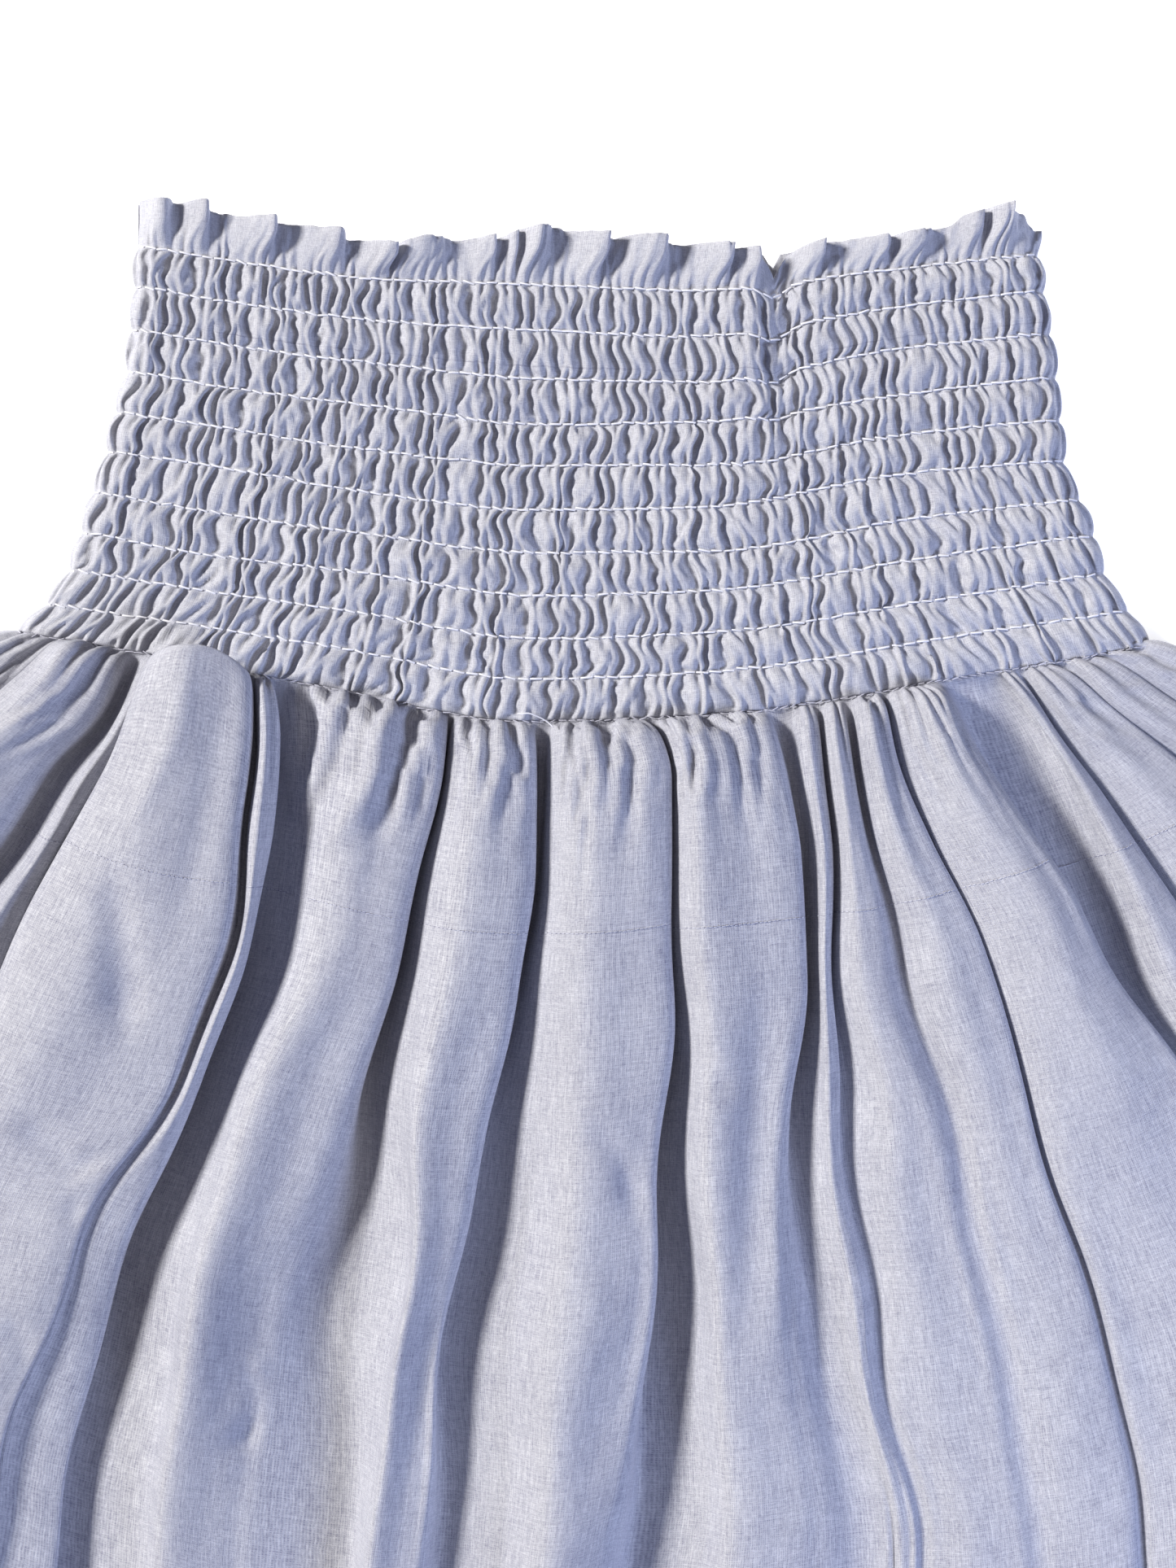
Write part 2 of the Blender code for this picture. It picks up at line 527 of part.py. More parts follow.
def main() -> None:
    """Build the four sewn pieces of the skirt."""
    for item in list(bpy.data.objects):
        bpy.data.objects.remove(item, do_unlink=True)
    home = bpy.data.collections.new("maxi_skirt")
    bpy.context.scene.collection.children.link(home)
    band, band_faces = front_band()
    front = front_panel()
    back = back_panel()
    under = back_band()
    top = band[:, 1].max()
    bottom = min(front[..., 1].min(), back[..., 1].min())
    reach = max(front[..., 0].max() + SKIRT_WALL / 2, back[..., 0].max())
    left = min(front[..., 0].min() - SKIRT_WALL / 2, back[..., 0].min())
    shift = np.array([(reach + left) / 2, (top + bottom) / 2, 0.0])
    lilac = (0.56, 0.58, 0.80)
    smocked = make_object("band_front", band - shift, band_faces, (0.55, 0.57, 0.79), home)
    orient(smocked)
    make_sheet("band_back", under - shift, BACK_BAND_WALL, True, 0, (0.52, 0.54, 0.76), home)
    make_sheet("skirt_front", front - shift, SKIRT_WALL, False, 2, lilac, home)
    make_sheet("skirt_back", back - shift, SKIRT_WALL, True, 2, (0.54, 0.56, 0.78), home)


if __name__ == "__main__":
    main()
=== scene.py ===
"""Visual model of a maxi skirt laid flat and seen from above.

A lilac cotton skirt with a smocked elastic waist band, a ruffled header and deep soft pleats
is dressed on the frame's four solids, two band pieces and two skirt panels. The waist points
to +Y, the hem to -Y and the front faces +Z. Sizes are millimetres up to the point where a mesh
is made, and y counts from the middle of the joining seam until a piece is placed.
"""
import logging
import math
from dataclasses import dataclass, field
from enum import Enum
from typing import NamedTuple

import bpy
import numpy as np
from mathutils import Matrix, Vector


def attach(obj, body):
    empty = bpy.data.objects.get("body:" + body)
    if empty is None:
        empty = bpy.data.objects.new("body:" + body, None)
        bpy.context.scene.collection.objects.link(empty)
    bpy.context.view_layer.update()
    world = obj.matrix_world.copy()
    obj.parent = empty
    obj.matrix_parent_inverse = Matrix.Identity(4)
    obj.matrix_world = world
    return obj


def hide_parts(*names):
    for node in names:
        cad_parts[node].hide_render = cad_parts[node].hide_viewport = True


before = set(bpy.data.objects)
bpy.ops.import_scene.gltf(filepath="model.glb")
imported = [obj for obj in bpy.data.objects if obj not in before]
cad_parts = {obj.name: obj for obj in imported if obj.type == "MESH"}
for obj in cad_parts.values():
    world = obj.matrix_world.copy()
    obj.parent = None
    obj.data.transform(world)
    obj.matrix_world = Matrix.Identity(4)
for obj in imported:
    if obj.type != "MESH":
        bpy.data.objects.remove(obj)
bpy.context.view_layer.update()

LOG = logging.getLogger("maxi_skirt")

# A millimetre in metres, and the y of the frame's middle counted from the joining seam.
MM = 0.001
CENTRE_Y = -321.77

# Least height of cloth over the floor, and the width of cloth that a band's weave is laid on.
FLOOR_GAP = 0.1
BAND_CLOTH = 320

# How many waves soft noise has in a unit of its coordinates, at least and at most.
WAVE_COUNTS = (0.6, 1.5)


class Face(Enum):
    """Which way the outer side of a laid piece looks."""

    UP = "up"
    DOWN = "down"


# Curves and soft noise


def hermite(first: np.ndarray, first_way: np.ndarray, second: np.ndarray,
            second_way: np.ndarray, t: np.ndarray) -> np.ndarray:
    """Run a curve from one value to the next.

    Args:
        first: Value at the start.
        first_way: Slope at the start times the length of the run.
        second: Value at the end.
        second_way: Slope at the end times the length of the run.
        t: Place from 0 to 1.

    Returns:
        The value at that place.
    """
    return (first * (1 + 2 * t) * (1 - t) ** 2 + first_way * t * (1 - t) ** 2
            + second * t * t * (3 - 2 * t) + second_way * t * t * (t - 1))


def smooth(knots: tuple, values: np.ndarray, at: np.ndarray) -> np.ndarray:
    """Run a curve without overshoot through values given at knots.

    Args:
        knots: Places of the values, rising.
        values: Values, with the knots on the last axis.
        at: Places to read.

    Returns:
        The values at those places, on the last axis.
    """
    knots = np.asarray(knots, dtype=float)
    values = np.asarray(values, dtype=float)
    step = np.diff(knots)
    slope = np.diff(values, axis=-1) / step
    tangent = np.zeros_like(values)
    tangent[..., 0] = slope[..., 0]
    tangent[..., -1] = slope[..., -1]
    before = slope[..., :-1]
    after = slope[..., 1:]
    agree = before * after > 0
    total = np.where(agree, before + after, 1.0)
    tangent[..., 1:-1] = np.where(agree, 2 * before * after / total, 0.0)
    at = np.clip(at, knots[0], knots[-1])
    place = np.clip(np.searchsorted(knots, at, side="right") - 1, 0, len(step) - 1)
    t = (at - knots[place]) / step[place]
    run = step[place]
    return hermite(values[..., place], tangent[..., place] * run, values[..., place + 1],
                   tangent[..., place + 1] * run, t)


def ease(value: np.ndarray, start: float, end: float) -> np.ndarray:
    """Return 0 before start, 1 past end and a soft step between them."""
    t = np.clip((value - start) / (end - start), 0.0, 1.0)
    return t * t * (3 - 2 * t)


def ripple(across: np.ndarray, along: np.ndarray, seed: int, waves: int = 9) -> np.ndarray:
    """Return soft uneven noise of about unit size, with about one wave in a unit of length.

    Args:
        across: First coordinate, in wavelengths.
        along: Second coordinate, in wavelengths.
        seed: Picks the pattern.
        waves: How many waves are summed.

    Returns:
        The noise at each point.
    """
    rng = np.random.default_rng(seed)
    total = np.zeros(np.broadcast(across, along).shape)
    for _ in range(waves):
        turn = rng.uniform(0, 2 * math.pi)
        count = rng.uniform(*WAVE_COUNTS)
        shift = rng.uniform(0, 2 * math.pi)
        total += np.sin(2 * math.pi * count * (across * math.cos(turn) + along * math.sin(turn))
                        + shift)
    return total * math.sqrt(2 / waves)


# Finishes


class Wiring:
    """A node tree, with short calls that add nodes and wire them."""

    def __init__(self, tree: bpy.types.NodeTree) -> None:
        """Take up a node tree."""
        self.tree = tree

    def add(self, kind: str, **inputs: object) -> bpy.types.Node:
        """Add a node and feed its inputs, which are values or sockets by name.

        Args:
            kind: The node's type.
            inputs: Input names with underscores for spaces.

        Returns:
            The node.
        """
        node = self.tree.nodes.new(kind)
        for name, value in inputs.items():
            self.feed(node.inputs[name.replace("_", " ")], value)
        return node

    def feed(self, socket: bpy.types.NodeSocket, value: object) -> None:
        """Give a socket a value or a link.

        Args:
            socket: The input.
            value: A value, or the output to link.
        """
        if isinstance(value, bpy.types.NodeSocket):
            self.tree.links.new(value, socket)
        else:
            socket.default_value = value

    def sum(self, operation: str, *values: object) -> bpy.types.NodeSocket:
        """Add a math node over values or sockets.

        Args:
            operation: The node's operation.
            values: What it works on, in order.

        Returns:
            Its result.
        """
        node = self.tree.nodes.new("ShaderNodeMath")
        node.operation = operation
        for socket, value in zip(node.inputs, values):
            self.feed(socket, value)
        return node.outputs[0]


class Board(Wiring):
    """A material with its node tree and principled shader."""

    def __init__(self, name: str) -> None:
        """Start a material.

        Args:
            name: The material's name.
        """
        self.material = bpy.data.materials.new(name)
        self.material.use_nodes = True
        super().__init__(self.material.node_tree)
        self.shader = self.tree.nodes["Principled BSDF"]

    def blend(self, share: object, first: tuple, second: tuple) -> bpy.types.NodeSocket:
        """Mix two colours.

        Args:
            share: Share of the second colour.
            first: The first colour's red, green and blue.
            second: The second colour's.

        Returns:
            The mixed colour.
        """
        node = self.tree.nodes.new("ShaderNodeMix")
        node.data_type = "RGBA"
        for number, value in ((0, share), (6, (*first, 1.0)), (7, (*second, 1.0))):
            self.feed(node.inputs[number], value)
        return node.outputs[2]

    def noise(self, place: object, scale: float, detail: float = 2.0) -> bpy.types.NodeSocket:
        """Add a noise texture and return its value."""
        node = self.add("ShaderNodeTexNoise", Vector=place, Scale=scale, Detail=detail)
        return node.outputs[0]

    def stretched(self, place: object, waves: tuple, detail: float) -> bpy.types.NodeSocket:
        """Add noise with so many waves a metre across and along and return its value."""
        spot = self.add("ShaderNodeMapping", Vector=place, Scale=(*waves, 1.0))
        return self.noise(spot.outputs[0], 1.0, detail)

    def fade(self, value: object, ends: tuple, to: tuple) -> bpy.types.NodeSocket:
        """Turn a value between two ends into one between two others, and hold it beyond them."""
        limits = dict(zip(("From_Min", "From_Max", "To_Min", "To_Max"), (*ends, *to)))
        return self.add("ShaderNodeMapRange", Value=value, **limits).outputs[0]

    def relief(self, height: object, strength: float, distance: float) -> None:
        """Give the shader a bump from a height."""
        bump = self.add("ShaderNodeBump", Strength=strength, Distance=distance, Height=height)
        self.feed(self.shader.inputs["Normal"], bump.outputs[0])


@dataclass(frozen=True)
class CottonFinish:
    """Plain-woven dyed cotton with open gaps between uneven yarns.

    Its pattern follows the piece's own UV map, in metres along the weft and the warp. Fields
    named waves are a noise's waves a metre, and pairs of them are across and along the cloth.
    """

    name: str
    yarn: tuple = (0.598, 0.605, 0.642)
    gap: tuple = (0.112, 0.112, 0.186)
    pitch: float = 0.00057
    slub: float = 0.38
    pick: float = 0.062
    pick_half: float = 0.00016
    pick_shade: float = 0.45
    crumple: float = 0.6
    crumple_waves: float = 300.0
    wash: float = 3.3
    wash_waves: float = 95.0
    drift: float = 1.4
    drift_waves: float = 160.0
    jitter: float = 1.5
    jitter_waves: tuple = (420.0, 900.0)
    warp_height: float = 0.9
    steady_hole: float = 0.48
    steady_ends: tuple = (0.2, 0.9)
    loose_hole: float = 0.42
    loose_ends: tuple = (0.4, 0.66)
    loose_waves: tuple = (2700.0, 600.0)
    hole: float = 0.64
    warp_streak: float = 0.65
    warp_waves: tuple = (1500.0, 120.0)
    weft_streak: float = 0.35
    weft_waves: tuple = (85.0, 1300.0)
    thin_ends: tuple = (0.34, 0.68)
    mottle: float = 0.22
    mottle_waves: float = 34.0
    rough: float = 0.72
    rough_gap: float = 0.16
    yarn_relief: float = 0.5
    relief_strength: float = 0.5
    relief_depth: float = 0.00022

    def weave(self, board: Board, uv: bpy.types.NodeSocket, parts: tuple) -> tuple:
        """Weave the yarns over and under each other.

        Args:
            board: The material's nodes.
            uv: Place on the cloth.
            parts: Its parts along the weft and the warp.

        Returns:
            How well yarns cover the place, and how much of a hole there is between them.
        """
        drift = board.noise(uv, self.drift_waves)
        wobble = board.sum("MULTIPLY_ADD", drift, self.drift, -0.5 * self.drift)
        jitter = board.stretched(uv, self.jitter_waves, 1.0)
        uneven = board.sum("MULTIPLY_ADD", jitter, self.jitter, wobble)
        yarns = []
        for part, shift in zip(parts, (wobble, uneven)):
            turn = board.sum("MULTIPLY_ADD", part, 1 / self.pitch, shift)
            wave = board.sum("SINE", board.sum("MULTIPLY", turn, math.pi))
            yarns.append(board.sum("ABSOLUTE", wave))
        cover = board.sum("MAXIMUM", yarns[0], board.sum("MULTIPLY", yarns[1], self.warp_height))
        steady = board.fade(cover, self.steady_ends, (1.0, 0.0))
        chance = board.sum("MAXIMUM", board.stretched(uv, self.loose_waves, 1.0),
                           board.stretched(uv, self.loose_waves[::-1], 1.0))
        loose = board.fade(chance, self.loose_ends, (1.0, 0.0))
        hole = board.sum("MULTIPLY_ADD", loose, self.loose_hole,
                         board.sum("MULTIPLY", steady, self.steady_hole))
        return cover, hole

    def make(self) -> bpy.types.Material:
        """Build the material.

        Returns:
            The material.
        """
        board = Board(self.name)
        place = board.add("ShaderNodeUVMap")
        place.uv_map = "cloth"
        uv = place.outputs[0]
        parts = tuple(board.add("ShaderNodeSeparateXYZ", Vector=uv).outputs[:2])
        cover, hole = self.weave(board, uv, parts)
        warp_slub = board.stretched(uv, self.warp_waves, 3.0)
        weft_slub = board.stretched(uv, self.weft_waves, 2.0)
        streak = board.sum("MULTIPLY_ADD", weft_slub, self.weft_streak,
                           board.sum("MULTIPLY", warp_slub, self.warp_streak))
        thin = board.fade(streak, self.thin_ends, (0.0, self.slub))
        open_share = board.sum("MULTIPLY_ADD", hole, self.hole, thin)
        thick_pick = board.sum("ABSOLUTE", board.sum("ADD", parts[1], self.pick))
        thick_pick = board.sum("LESS_THAN", thick_pick, self.pick_half)
        thick_pick = board.sum("MULTIPLY", thick_pick,
                               board.sum("MULTIPLY", weft_slub, self.pick_shade))
        open_share = board.sum("ADD", open_share, thick_pick)
        mottle = board.sum("SUBTRACT", board.noise(uv, self.mottle_waves, 3.0), 0.5)
        open_share = board.sum("MULTIPLY_ADD", mottle, self.mottle, open_share)
        colour = board.blend(board.sum("MAXIMUM", open_share, 0.0), self.yarn, self.gap)
        board.feed(board.shader.inputs["Base Color"], colour)
        rough = board.sum("MULTIPLY_ADD", open_share, self.rough_gap, self.rough)
        board.feed(board.shader.inputs["Roughness"], rough)
        crumple = board.noise(uv, self.crumple_waves, 3.0)
        height = board.sum("MULTIPLY_ADD", cover, self.yarn_relief,
                           board.sum("MULTIPLY", crumple, self.crumple))
        height = board.sum("MULTIPLY_ADD", warp_slub, self.yarn_relief, height)
        wash = board.noise(uv, self.wash_waves)
        height = board.sum("MULTIPLY_ADD", wash, self.wash, height)
        board.relief(height, self.relief_strength, self.relief_depth)
        board.shader.inputs["Sheen Weight"].default_value = 0.22
        board.shader.inputs["Sheen Roughness"].default_value = 0.45
        board.shader.inputs["Sheen Tint"].default_value = (0.86, 0.88, 1.0, 1.0)
        board.shader.inputs["Specular IOR Level"].default_value = 0.25
        return board.material


@dataclass(frozen=True)
class ThreadFinish:
    """Off-white sewing thread with a light twist."""

    name: str
    pale: tuple = (0.93, 0.93, 0.94)
    shade: tuple = (0.70, 0.70, 0.76)
    twist: float = 0.5
    twist_waves: float = 2600.0
    change: float = 0.4
    change_waves: float = 90.0
    rough: float = 0.5
    rough_twist: float = 0.2
    relief_strength: float = 0.4
    relief_depth: float = 0.0001

    def make(self) -> bpy.types.Material:
        """Build the material.

        Returns:
            The material.
        """
        board = Board(self.name)
        place = board.add("ShaderNodeTexCoord").outputs["Object"]
        twist = board.noise(place, self.twist_waves, 1.0)
        change = board.noise(place, self.change_waves)
        share = board.sum("MULTIPLY_ADD", change, self.change,
                          board.sum("MULTIPLY", twist, self.twist))
        board.feed(board.shader.inputs["Base Color"], board.blend(share, self.pale, self.shade))
        rough = board.sum("MULTIPLY_ADD", twist, self.rough_twist, self.rough)
        board.feed(board.shader.inputs["Roughness"], rough)
        board.relief(twist, self.relief_strength, self.relief_depth)
        board.shader.inputs["Sheen Weight"].default_value = 0.15
        return board.material


@dataclass(frozen=True)
class PaperFinish:
    """White studio paper, lit a little from below as on a light table."""

    name: str
    white: tuple = (0.94, 0.94, 0.94)
    glow: float = 0.75
    grain_waves: float = 900.0
    grain: float = 0.985

    def make(self) -> bpy.types.Material:
        """Build the material.

        Returns:
            The material.
        """
        board = Board(self.name)
        place = board.add("ShaderNodeTexCoord").outputs["Object"]
        grain = board.noise(place, self.grain_waves, 3.0)
        dim = tuple(self.grain * part for part in self.white)
        board.feed(board.shader.inputs["Base Color"], board.blend(grain, self.white, dim))
        board.shader.inputs["Roughness"].default_value = 0.9
        board.shader.inputs["Emission Color"].default_value = (*self.white, 1.0)
        board.shader.inputs["Emission Strength"].default_value = self.glow
        return board.material


# Making meshes


def put(name: str, data: bpy.types.ID) -> bpy.types.Object:
    """Put an object into the scene.

    Args:
        name: Its name.
        data: Its mesh, light or camera.

    Returns:
        The object.
    """
    item = bpy.data.objects.new(name, data)
    bpy.context.scene.collection.objects.link(item)
    return item


def run_along(points: np.ndarray) -> np.ndarray:
    """Return each point's distance along a line of points from the first."""
    return np.concatenate([[0.0], np.cumsum(np.linalg.norm(np.diff(points, axis=0), axis=1))])


def cloth_uv(across: np.ndarray, down: np.ndarray) -> np.ndarray:
    """Return a grid's UV in metres from millimetres across and down its cloth."""
    return np.stack(np.broadcast_arrays(across[None, :], -down[:, None]), axis=-1) * MM


def place_points(points: np.ndarray) -> np.ndarray:
    """Turn points in millimetres from the seam into metres in the frame."""
    return (points - np.array([0.0, CENTRE_Y, 0.0])) * MM


def lay_grid(name: str, grid: np.ndarray, uv: np.ndarray, finish: bpy.types.Material,
             face: Face) -> bpy.types.Object:
    """Make a smooth sheet from a grid of points, with a UV map named cloth.

    Args:
        name: The piece's name.
        grid: Rows to -Y by columns to +X by 3, in millimetres from the seam.
        uv: Rows by columns by 2, in metres of cloth.
        finish: Its material.
        face: Where its outer side looks.

    Returns:
        The object.
    """
    rows, columns, _ = grid.shape
    number = np.arange(rows * columns).reshape(rows, columns)
    faces = np.stack([number[:-1, :-1], number[1:, :-1], number[1:, 1:], number[:-1, 1:]], axis=-1)
    faces = faces.reshape(-1, 4)
    if face is Face.DOWN:
        faces = faces[:, ::-1]
    mesh = bpy.data.meshes.new(name)
    mesh.vertices.add(rows * columns)
    mesh.vertices.foreach_set("co", place_points(grid).astype(np.float32).ravel())
    mesh.loops.add(faces.size)
    mesh.loops.foreach_set("vertex_index", faces.astype(np.int32).ravel())
    mesh.polygons.add(len(faces))
    mesh.polygons.foreach_set("loop_start", np.arange(len(faces), dtype=np.int32) * 4)
    mesh.update(calc_edges=True)
    mesh.validate()
    layer = mesh.uv_layers.new(name="cloth")
    layer.data.foreach_set("uv", uv.reshape(-1, 2)[faces.ravel()].astype(np.float32).ravel())
    mesh.polygons.foreach_set("use_smooth", np.ones(len(faces), dtype=bool))
    mesh.materials.append(finish)
    return put(name, mesh)


# The band's pattern


class BandRow(NamedTuple):
    """A stitched row: the x of its ends and its y at seven places between them."""

    left: float
    right: float
    y: tuple


ROW_PLACES = (-1.0, -0.75, -0.45, -0.1, 0.25, 0.65, 1.0)
BAND_ROWS = (
    BandRow(-129.8, 132.1, (137.6, 132.2, 127.5, 125.9, 124.3, 129.9, 135.2)),
    BandRow(-130.5, 133.8, (125.7, 120.1, 115.3, 112.5, 110.9, 119.0, 124.5)),
    BandRow(-131.7, 135.7, (113.3, 107.5, 102.9, 98.4, 97.6, 106.9, 112.1)),
    BandRow(-132.9, 137.4, (101.0, 95.4, 90.4, 85.1, 86.1, 93.7, 99.3)),
    BandRow(-136.4, 138.6, (89.0, 83.7, 77.7, 73.1, 73.3, 81.9, 86.9)),
    BandRow(-138.8, 139.8, (77.6, 72.5, 65.3, 60.3, 61.1, 70.6, 74.8)),
    BandRow(-142.9, 144.5, (65.7, 59.4, 53.5, 47.7, 48.2, 57.5, 63.6)),
    BandRow(-146.4, 148.6, (54.0, 47.2, 42.0, 35.3, 36.8, 46.0, 53.0)),
    BandRow(-150.0, 151.7, (42.9, 37.0, 30.6, 22.7, 24.7, 33.5, 42.0)),
    BandRow(-157.1, 158.8, (32.9, 27.3, 19.8, 10.9, 13.4, 22.7, 31.0)),
    BandRow(-165.6, 165.8, (25.2, 17.9, 8.6, -1.2, 1.2, 11.3, 21.0)),
)
SEAM_LEVEL = len(BAND_ROWS) - 1


@dataclass
class BandPattern:
    """The band's rows and the way its front stands over its back."""

    wall: float = 1.2
    low: float = 1.8
    rise: float = 6.5
    side_reach: float = 7.0
    header_depth: float = 14.0
    header_x: tuple = (-131.7, -114.8, -101.0, -87.9, -70.0, -60.5, -51.2, -26.2, -20.2, -8.6,
                       -0.2, 17.1, 32.6, 41.0, 53.0, 55.6, 58.0, 69.3, 86.0, 101.2, 107.1, 109.5,
                       121.4, 123.4, 128.6, 132.1)
    header_y: tuple = (151.9, 150.5, 146.0, 145.2, 140.6, 137.4, 139.8, 140.4, 142.6, 144.0,
                       140.9, 140.2, 138.3, 137.4, 136.8, 132.5, 137.4, 139.6, 140.5, 142.9,
                       144.2, 146.6, 150.0, 147.2, 147.4, 143.0)
    side_puffs: tuple = (0.7, 0.4, 0.8, 0.5, 0.9, 0.5, 0.8, 0.6, 0.8, 0.5)
    side_spare: float = 2.0
    lens_ease: float = 0.0055
    lens_middle: float = -20.0
    least_header: float = 6.0
    kink_x: float = 54.6
    kink: float = 3.4
    kink_width: float = 5.0
    kink_lean: float = 0.4
    step: float = 2.6
    step_bumps: tuple = ((0.9, 48.0, 9.0), (-1.1, 58.5, 5.0))
    dent_foot: float = 62.0
    dent_fade: float = 55.0

    def line(self, level: float, places: np.ndarray) -> tuple:
        """Trace a level of the band.

        Args:
            level: 0 is row one, 10 the seam, and between -1 and 0 is the header.
            places: Places along it, from -1 at the left end to 1 at the right.

        Returns:
            The x of its left and right end, and its y at the places.
        """
        table = np.array([[row.left, row.right, *row.y] for row in BAND_ROWS])
        values = smooth(range(len(BAND_ROWS)), table.T, np.array([max(level, 0.0)]))[:, 0]
        row = int(np.clip(level, 0, SEAM_LEVEL - 1))
        part = float(np.clip(level - row, 0, 1))
        out = self.side_spare + self.side_puffs[row] * math.sin(math.pi * part) ** 0.8
        y = smooth(ROW_PLACES, values[2:], places)
        return values[0] - out, values[1] + out, y + self.lens_ease * (y - self.lens_middle)

    def girth(self, level: float) -> float:
        """Return the length of the front wall from side to side along a level."""
        left, right, _ = self.line(level, np.zeros(1))
        return right - left - self.wall - 2 * self.side_reach + 2 * self.bend()

    def bend(self) -> float:
        """Return the length of the wall's turn from the side up to its flat top."""
        return math.pi / 4 * (self.side_reach + self.rise)

    def section(self, level: float, parts: np.ndarray) -> tuple:
        """Return the wall's middle points and outward normals along a level.

        Args:
            level: The level down the band.
            parts: Places from 0 at the left side to 1 at the right side.

        Returns:
            Points by 3 and normals by 3.
        """
        left, right, _ = self.line(level, np.zeros(1))
        left += self.wall / 2
        right -= self.wall / 2
        turn = self.bend()
        flat = right - left - 2 * self.side_reach
        along = parts * (flat + 2 * turn)
        angle_left = np.clip(along / turn, 0, 1) * math.pi / 2
        angle_right = np.clip((flat + 2 * turn - along) / turn, 0, 1) * math.pi / 2
        x = left + self.side_reach * (1 - np.cos(angle_left)) + np.clip(along - turn, 0, flat)
        x = x - self.side_reach * (1 - np.cos(angle_right)) + self.side_reach
        z = self.low + self.rise * (np.sin(angle_left) + np.sin(angle_right) - 1)
        normal = np.stack([np.cos(angle_right) - np.cos(angle_left), 0 * x,
                           np.sin(angle_left) + np.sin(angle_right) - 1], axis=1)
        normal /= np.linalg.norm(normal, axis=1)[:, None]
        half = (right - left) / 2
        _, _, y = self.line(level, (x - (left + right) / 2) / half)
        if level < 0:
            top = np.interp(x, self.header_x, self.header_y)
            y = y + np.maximum(top - y, self.least_header) * -level
        fade = ease(y, self.dent_foot, self.dent_foot + self.dent_fade)
        beside = (x - self.kink_x) / self.kink_width
        lean = 1 + self.kink_lean * np.tanh(beside)
        y = y - self.kink * fade * np.exp(-beside * beside) * lean
        bumps = sum(high * np.exp(-((x - at) / wide) ** 2) for high, at, wide in self.step_bumps)
        z = z + self.step * fade * bumps
        return np.stack([x, y, z], axis=1), normal


@dataclass
class Smocking:
    """The back cloth's cells between the stitched rows, uneven in width, height and place."""

    cells: int = 75
    seed: int = 23
    crest: float = 2.1
    pinch: float = 0.8
    narrow: float = 0.82
    phases: tuple = (0.0, 0.08, 0.25, 0.5, 0.75, 0.92)
    fade_cells: int = 3
    wander_kept: float = 0.72
    wander_fresh: float = 0.42
    own_shift: float = 0.13
    least_width: float = 0.42
    sway: float = 0.2
    crest_range: tuple = (0.78, 1.16)
    shallow_from: float = 0.82
    shallow: float = 0.5
    deep: float = 0.16
    width_range: tuple = (0.4, 1.6)
    bulge_round: float = 0.62
    edges: np.ndarray = field(init=False)
    sways: np.ndarray = field(init=False)
    crests: np.ndarray = field(init=False)
    valleys: np.ndarray = field(init=False)

    def __post_init__(self) -> None:
        """Draw the cells' uneven sizes."""
        rng = np.random.default_rng(self.seed)
        rows = SEAM_LEVEL + 1
        even = np.arange(self.cells + 1) / self.cells
        fade = np.clip(np.minimum(even, 1 - even) * self.cells / self.fade_cells, 0, 1)
        soft = np.array([0.25, 0.5, 0.25])
        wander = np.zeros(self.cells + 1)
        edges = []
        for _ in range(rows):
            fresh = np.convolve(rng.normal(0, 1.0, self.cells + 3), soft, "valid")
            wander = self.wander_kept * wander + self.wander_fresh * fresh
            own = rng.normal(0, self.own_shift, self.cells + 1)
            line = even + fade * (wander + own) / self.cells
            steps = np.maximum(np.diff(line), self.least_width / self.cells)
            line = np.concatenate([[0.0], np.cumsum(steps)])
            edges.append(line / line[-1])
        self.edges = np.array(edges)
        gaps = (rows - 1, self.cells + 1)
        self.sways = rng.normal(0, self.sway, gaps) * fade / self.cells
        self.crests = self.crest * rng.uniform(*self.crest_range, (rows - 1, self.cells))
        chance = rng.uniform(0, 1, gaps)
        self.valleys = np.where(chance > self.shallow_from, self.shallow, self.deep * chance)

    def row(self, level: float) -> tuple:
        """Lay out one line of the smocked cloth.

        Args:
            level: The level down the band, from 0 to 10.

        Returns:
            The places of its points from 0 to 1 and how high each stands off the wall.
        """
        number = min(int(level), SEAM_LEVEL - 1)
        t = level - number
        turn = 0.5 - 0.5 * math.cos(math.pi * t)
        bulge = math.sin(math.pi * t) ** self.bulge_round if 0 < t < 1 else 0.0
        lines = self.edges[number] * (1 - turn) + self.edges[number + 1] * turn
        lines = lines + self.sways[number] * math.sin(math.pi * t) ** 2
        lines = np.maximum.accumulate(lines)
        phase = np.array(self.phases)
        narrow = self.narrow * (0.55 + 0.45 * bulge)
        spread = phase - narrow * np.sin(2 * math.pi * phase) / (2 * math.pi)
        hill = 0.5 - 0.5 * np.cos(2 * math.pi * phase)
        width = np.diff(lines)
        parts = lines[:-1, None] + width[:, None] * spread
        relative = np.sqrt(np.clip(width * self.cells, *self.width_range))
        top = self.pinch + (self.crests[number] * relative - self.pinch) * bulge
        low = self.crest * self.valleys[number] * bulge + 0.3 * self.pinch * (1 - bulge)
        floor = low[:-1, None] * (1 - phase) + low[1:, None] * phase
        height = floor + (top[:, None] - floor) * hill
        parts = np.concatenate([parts.ravel(), lines[-1:]])
        height = np.concatenate([height.ravel(), low[-1:]])
        return parts, height


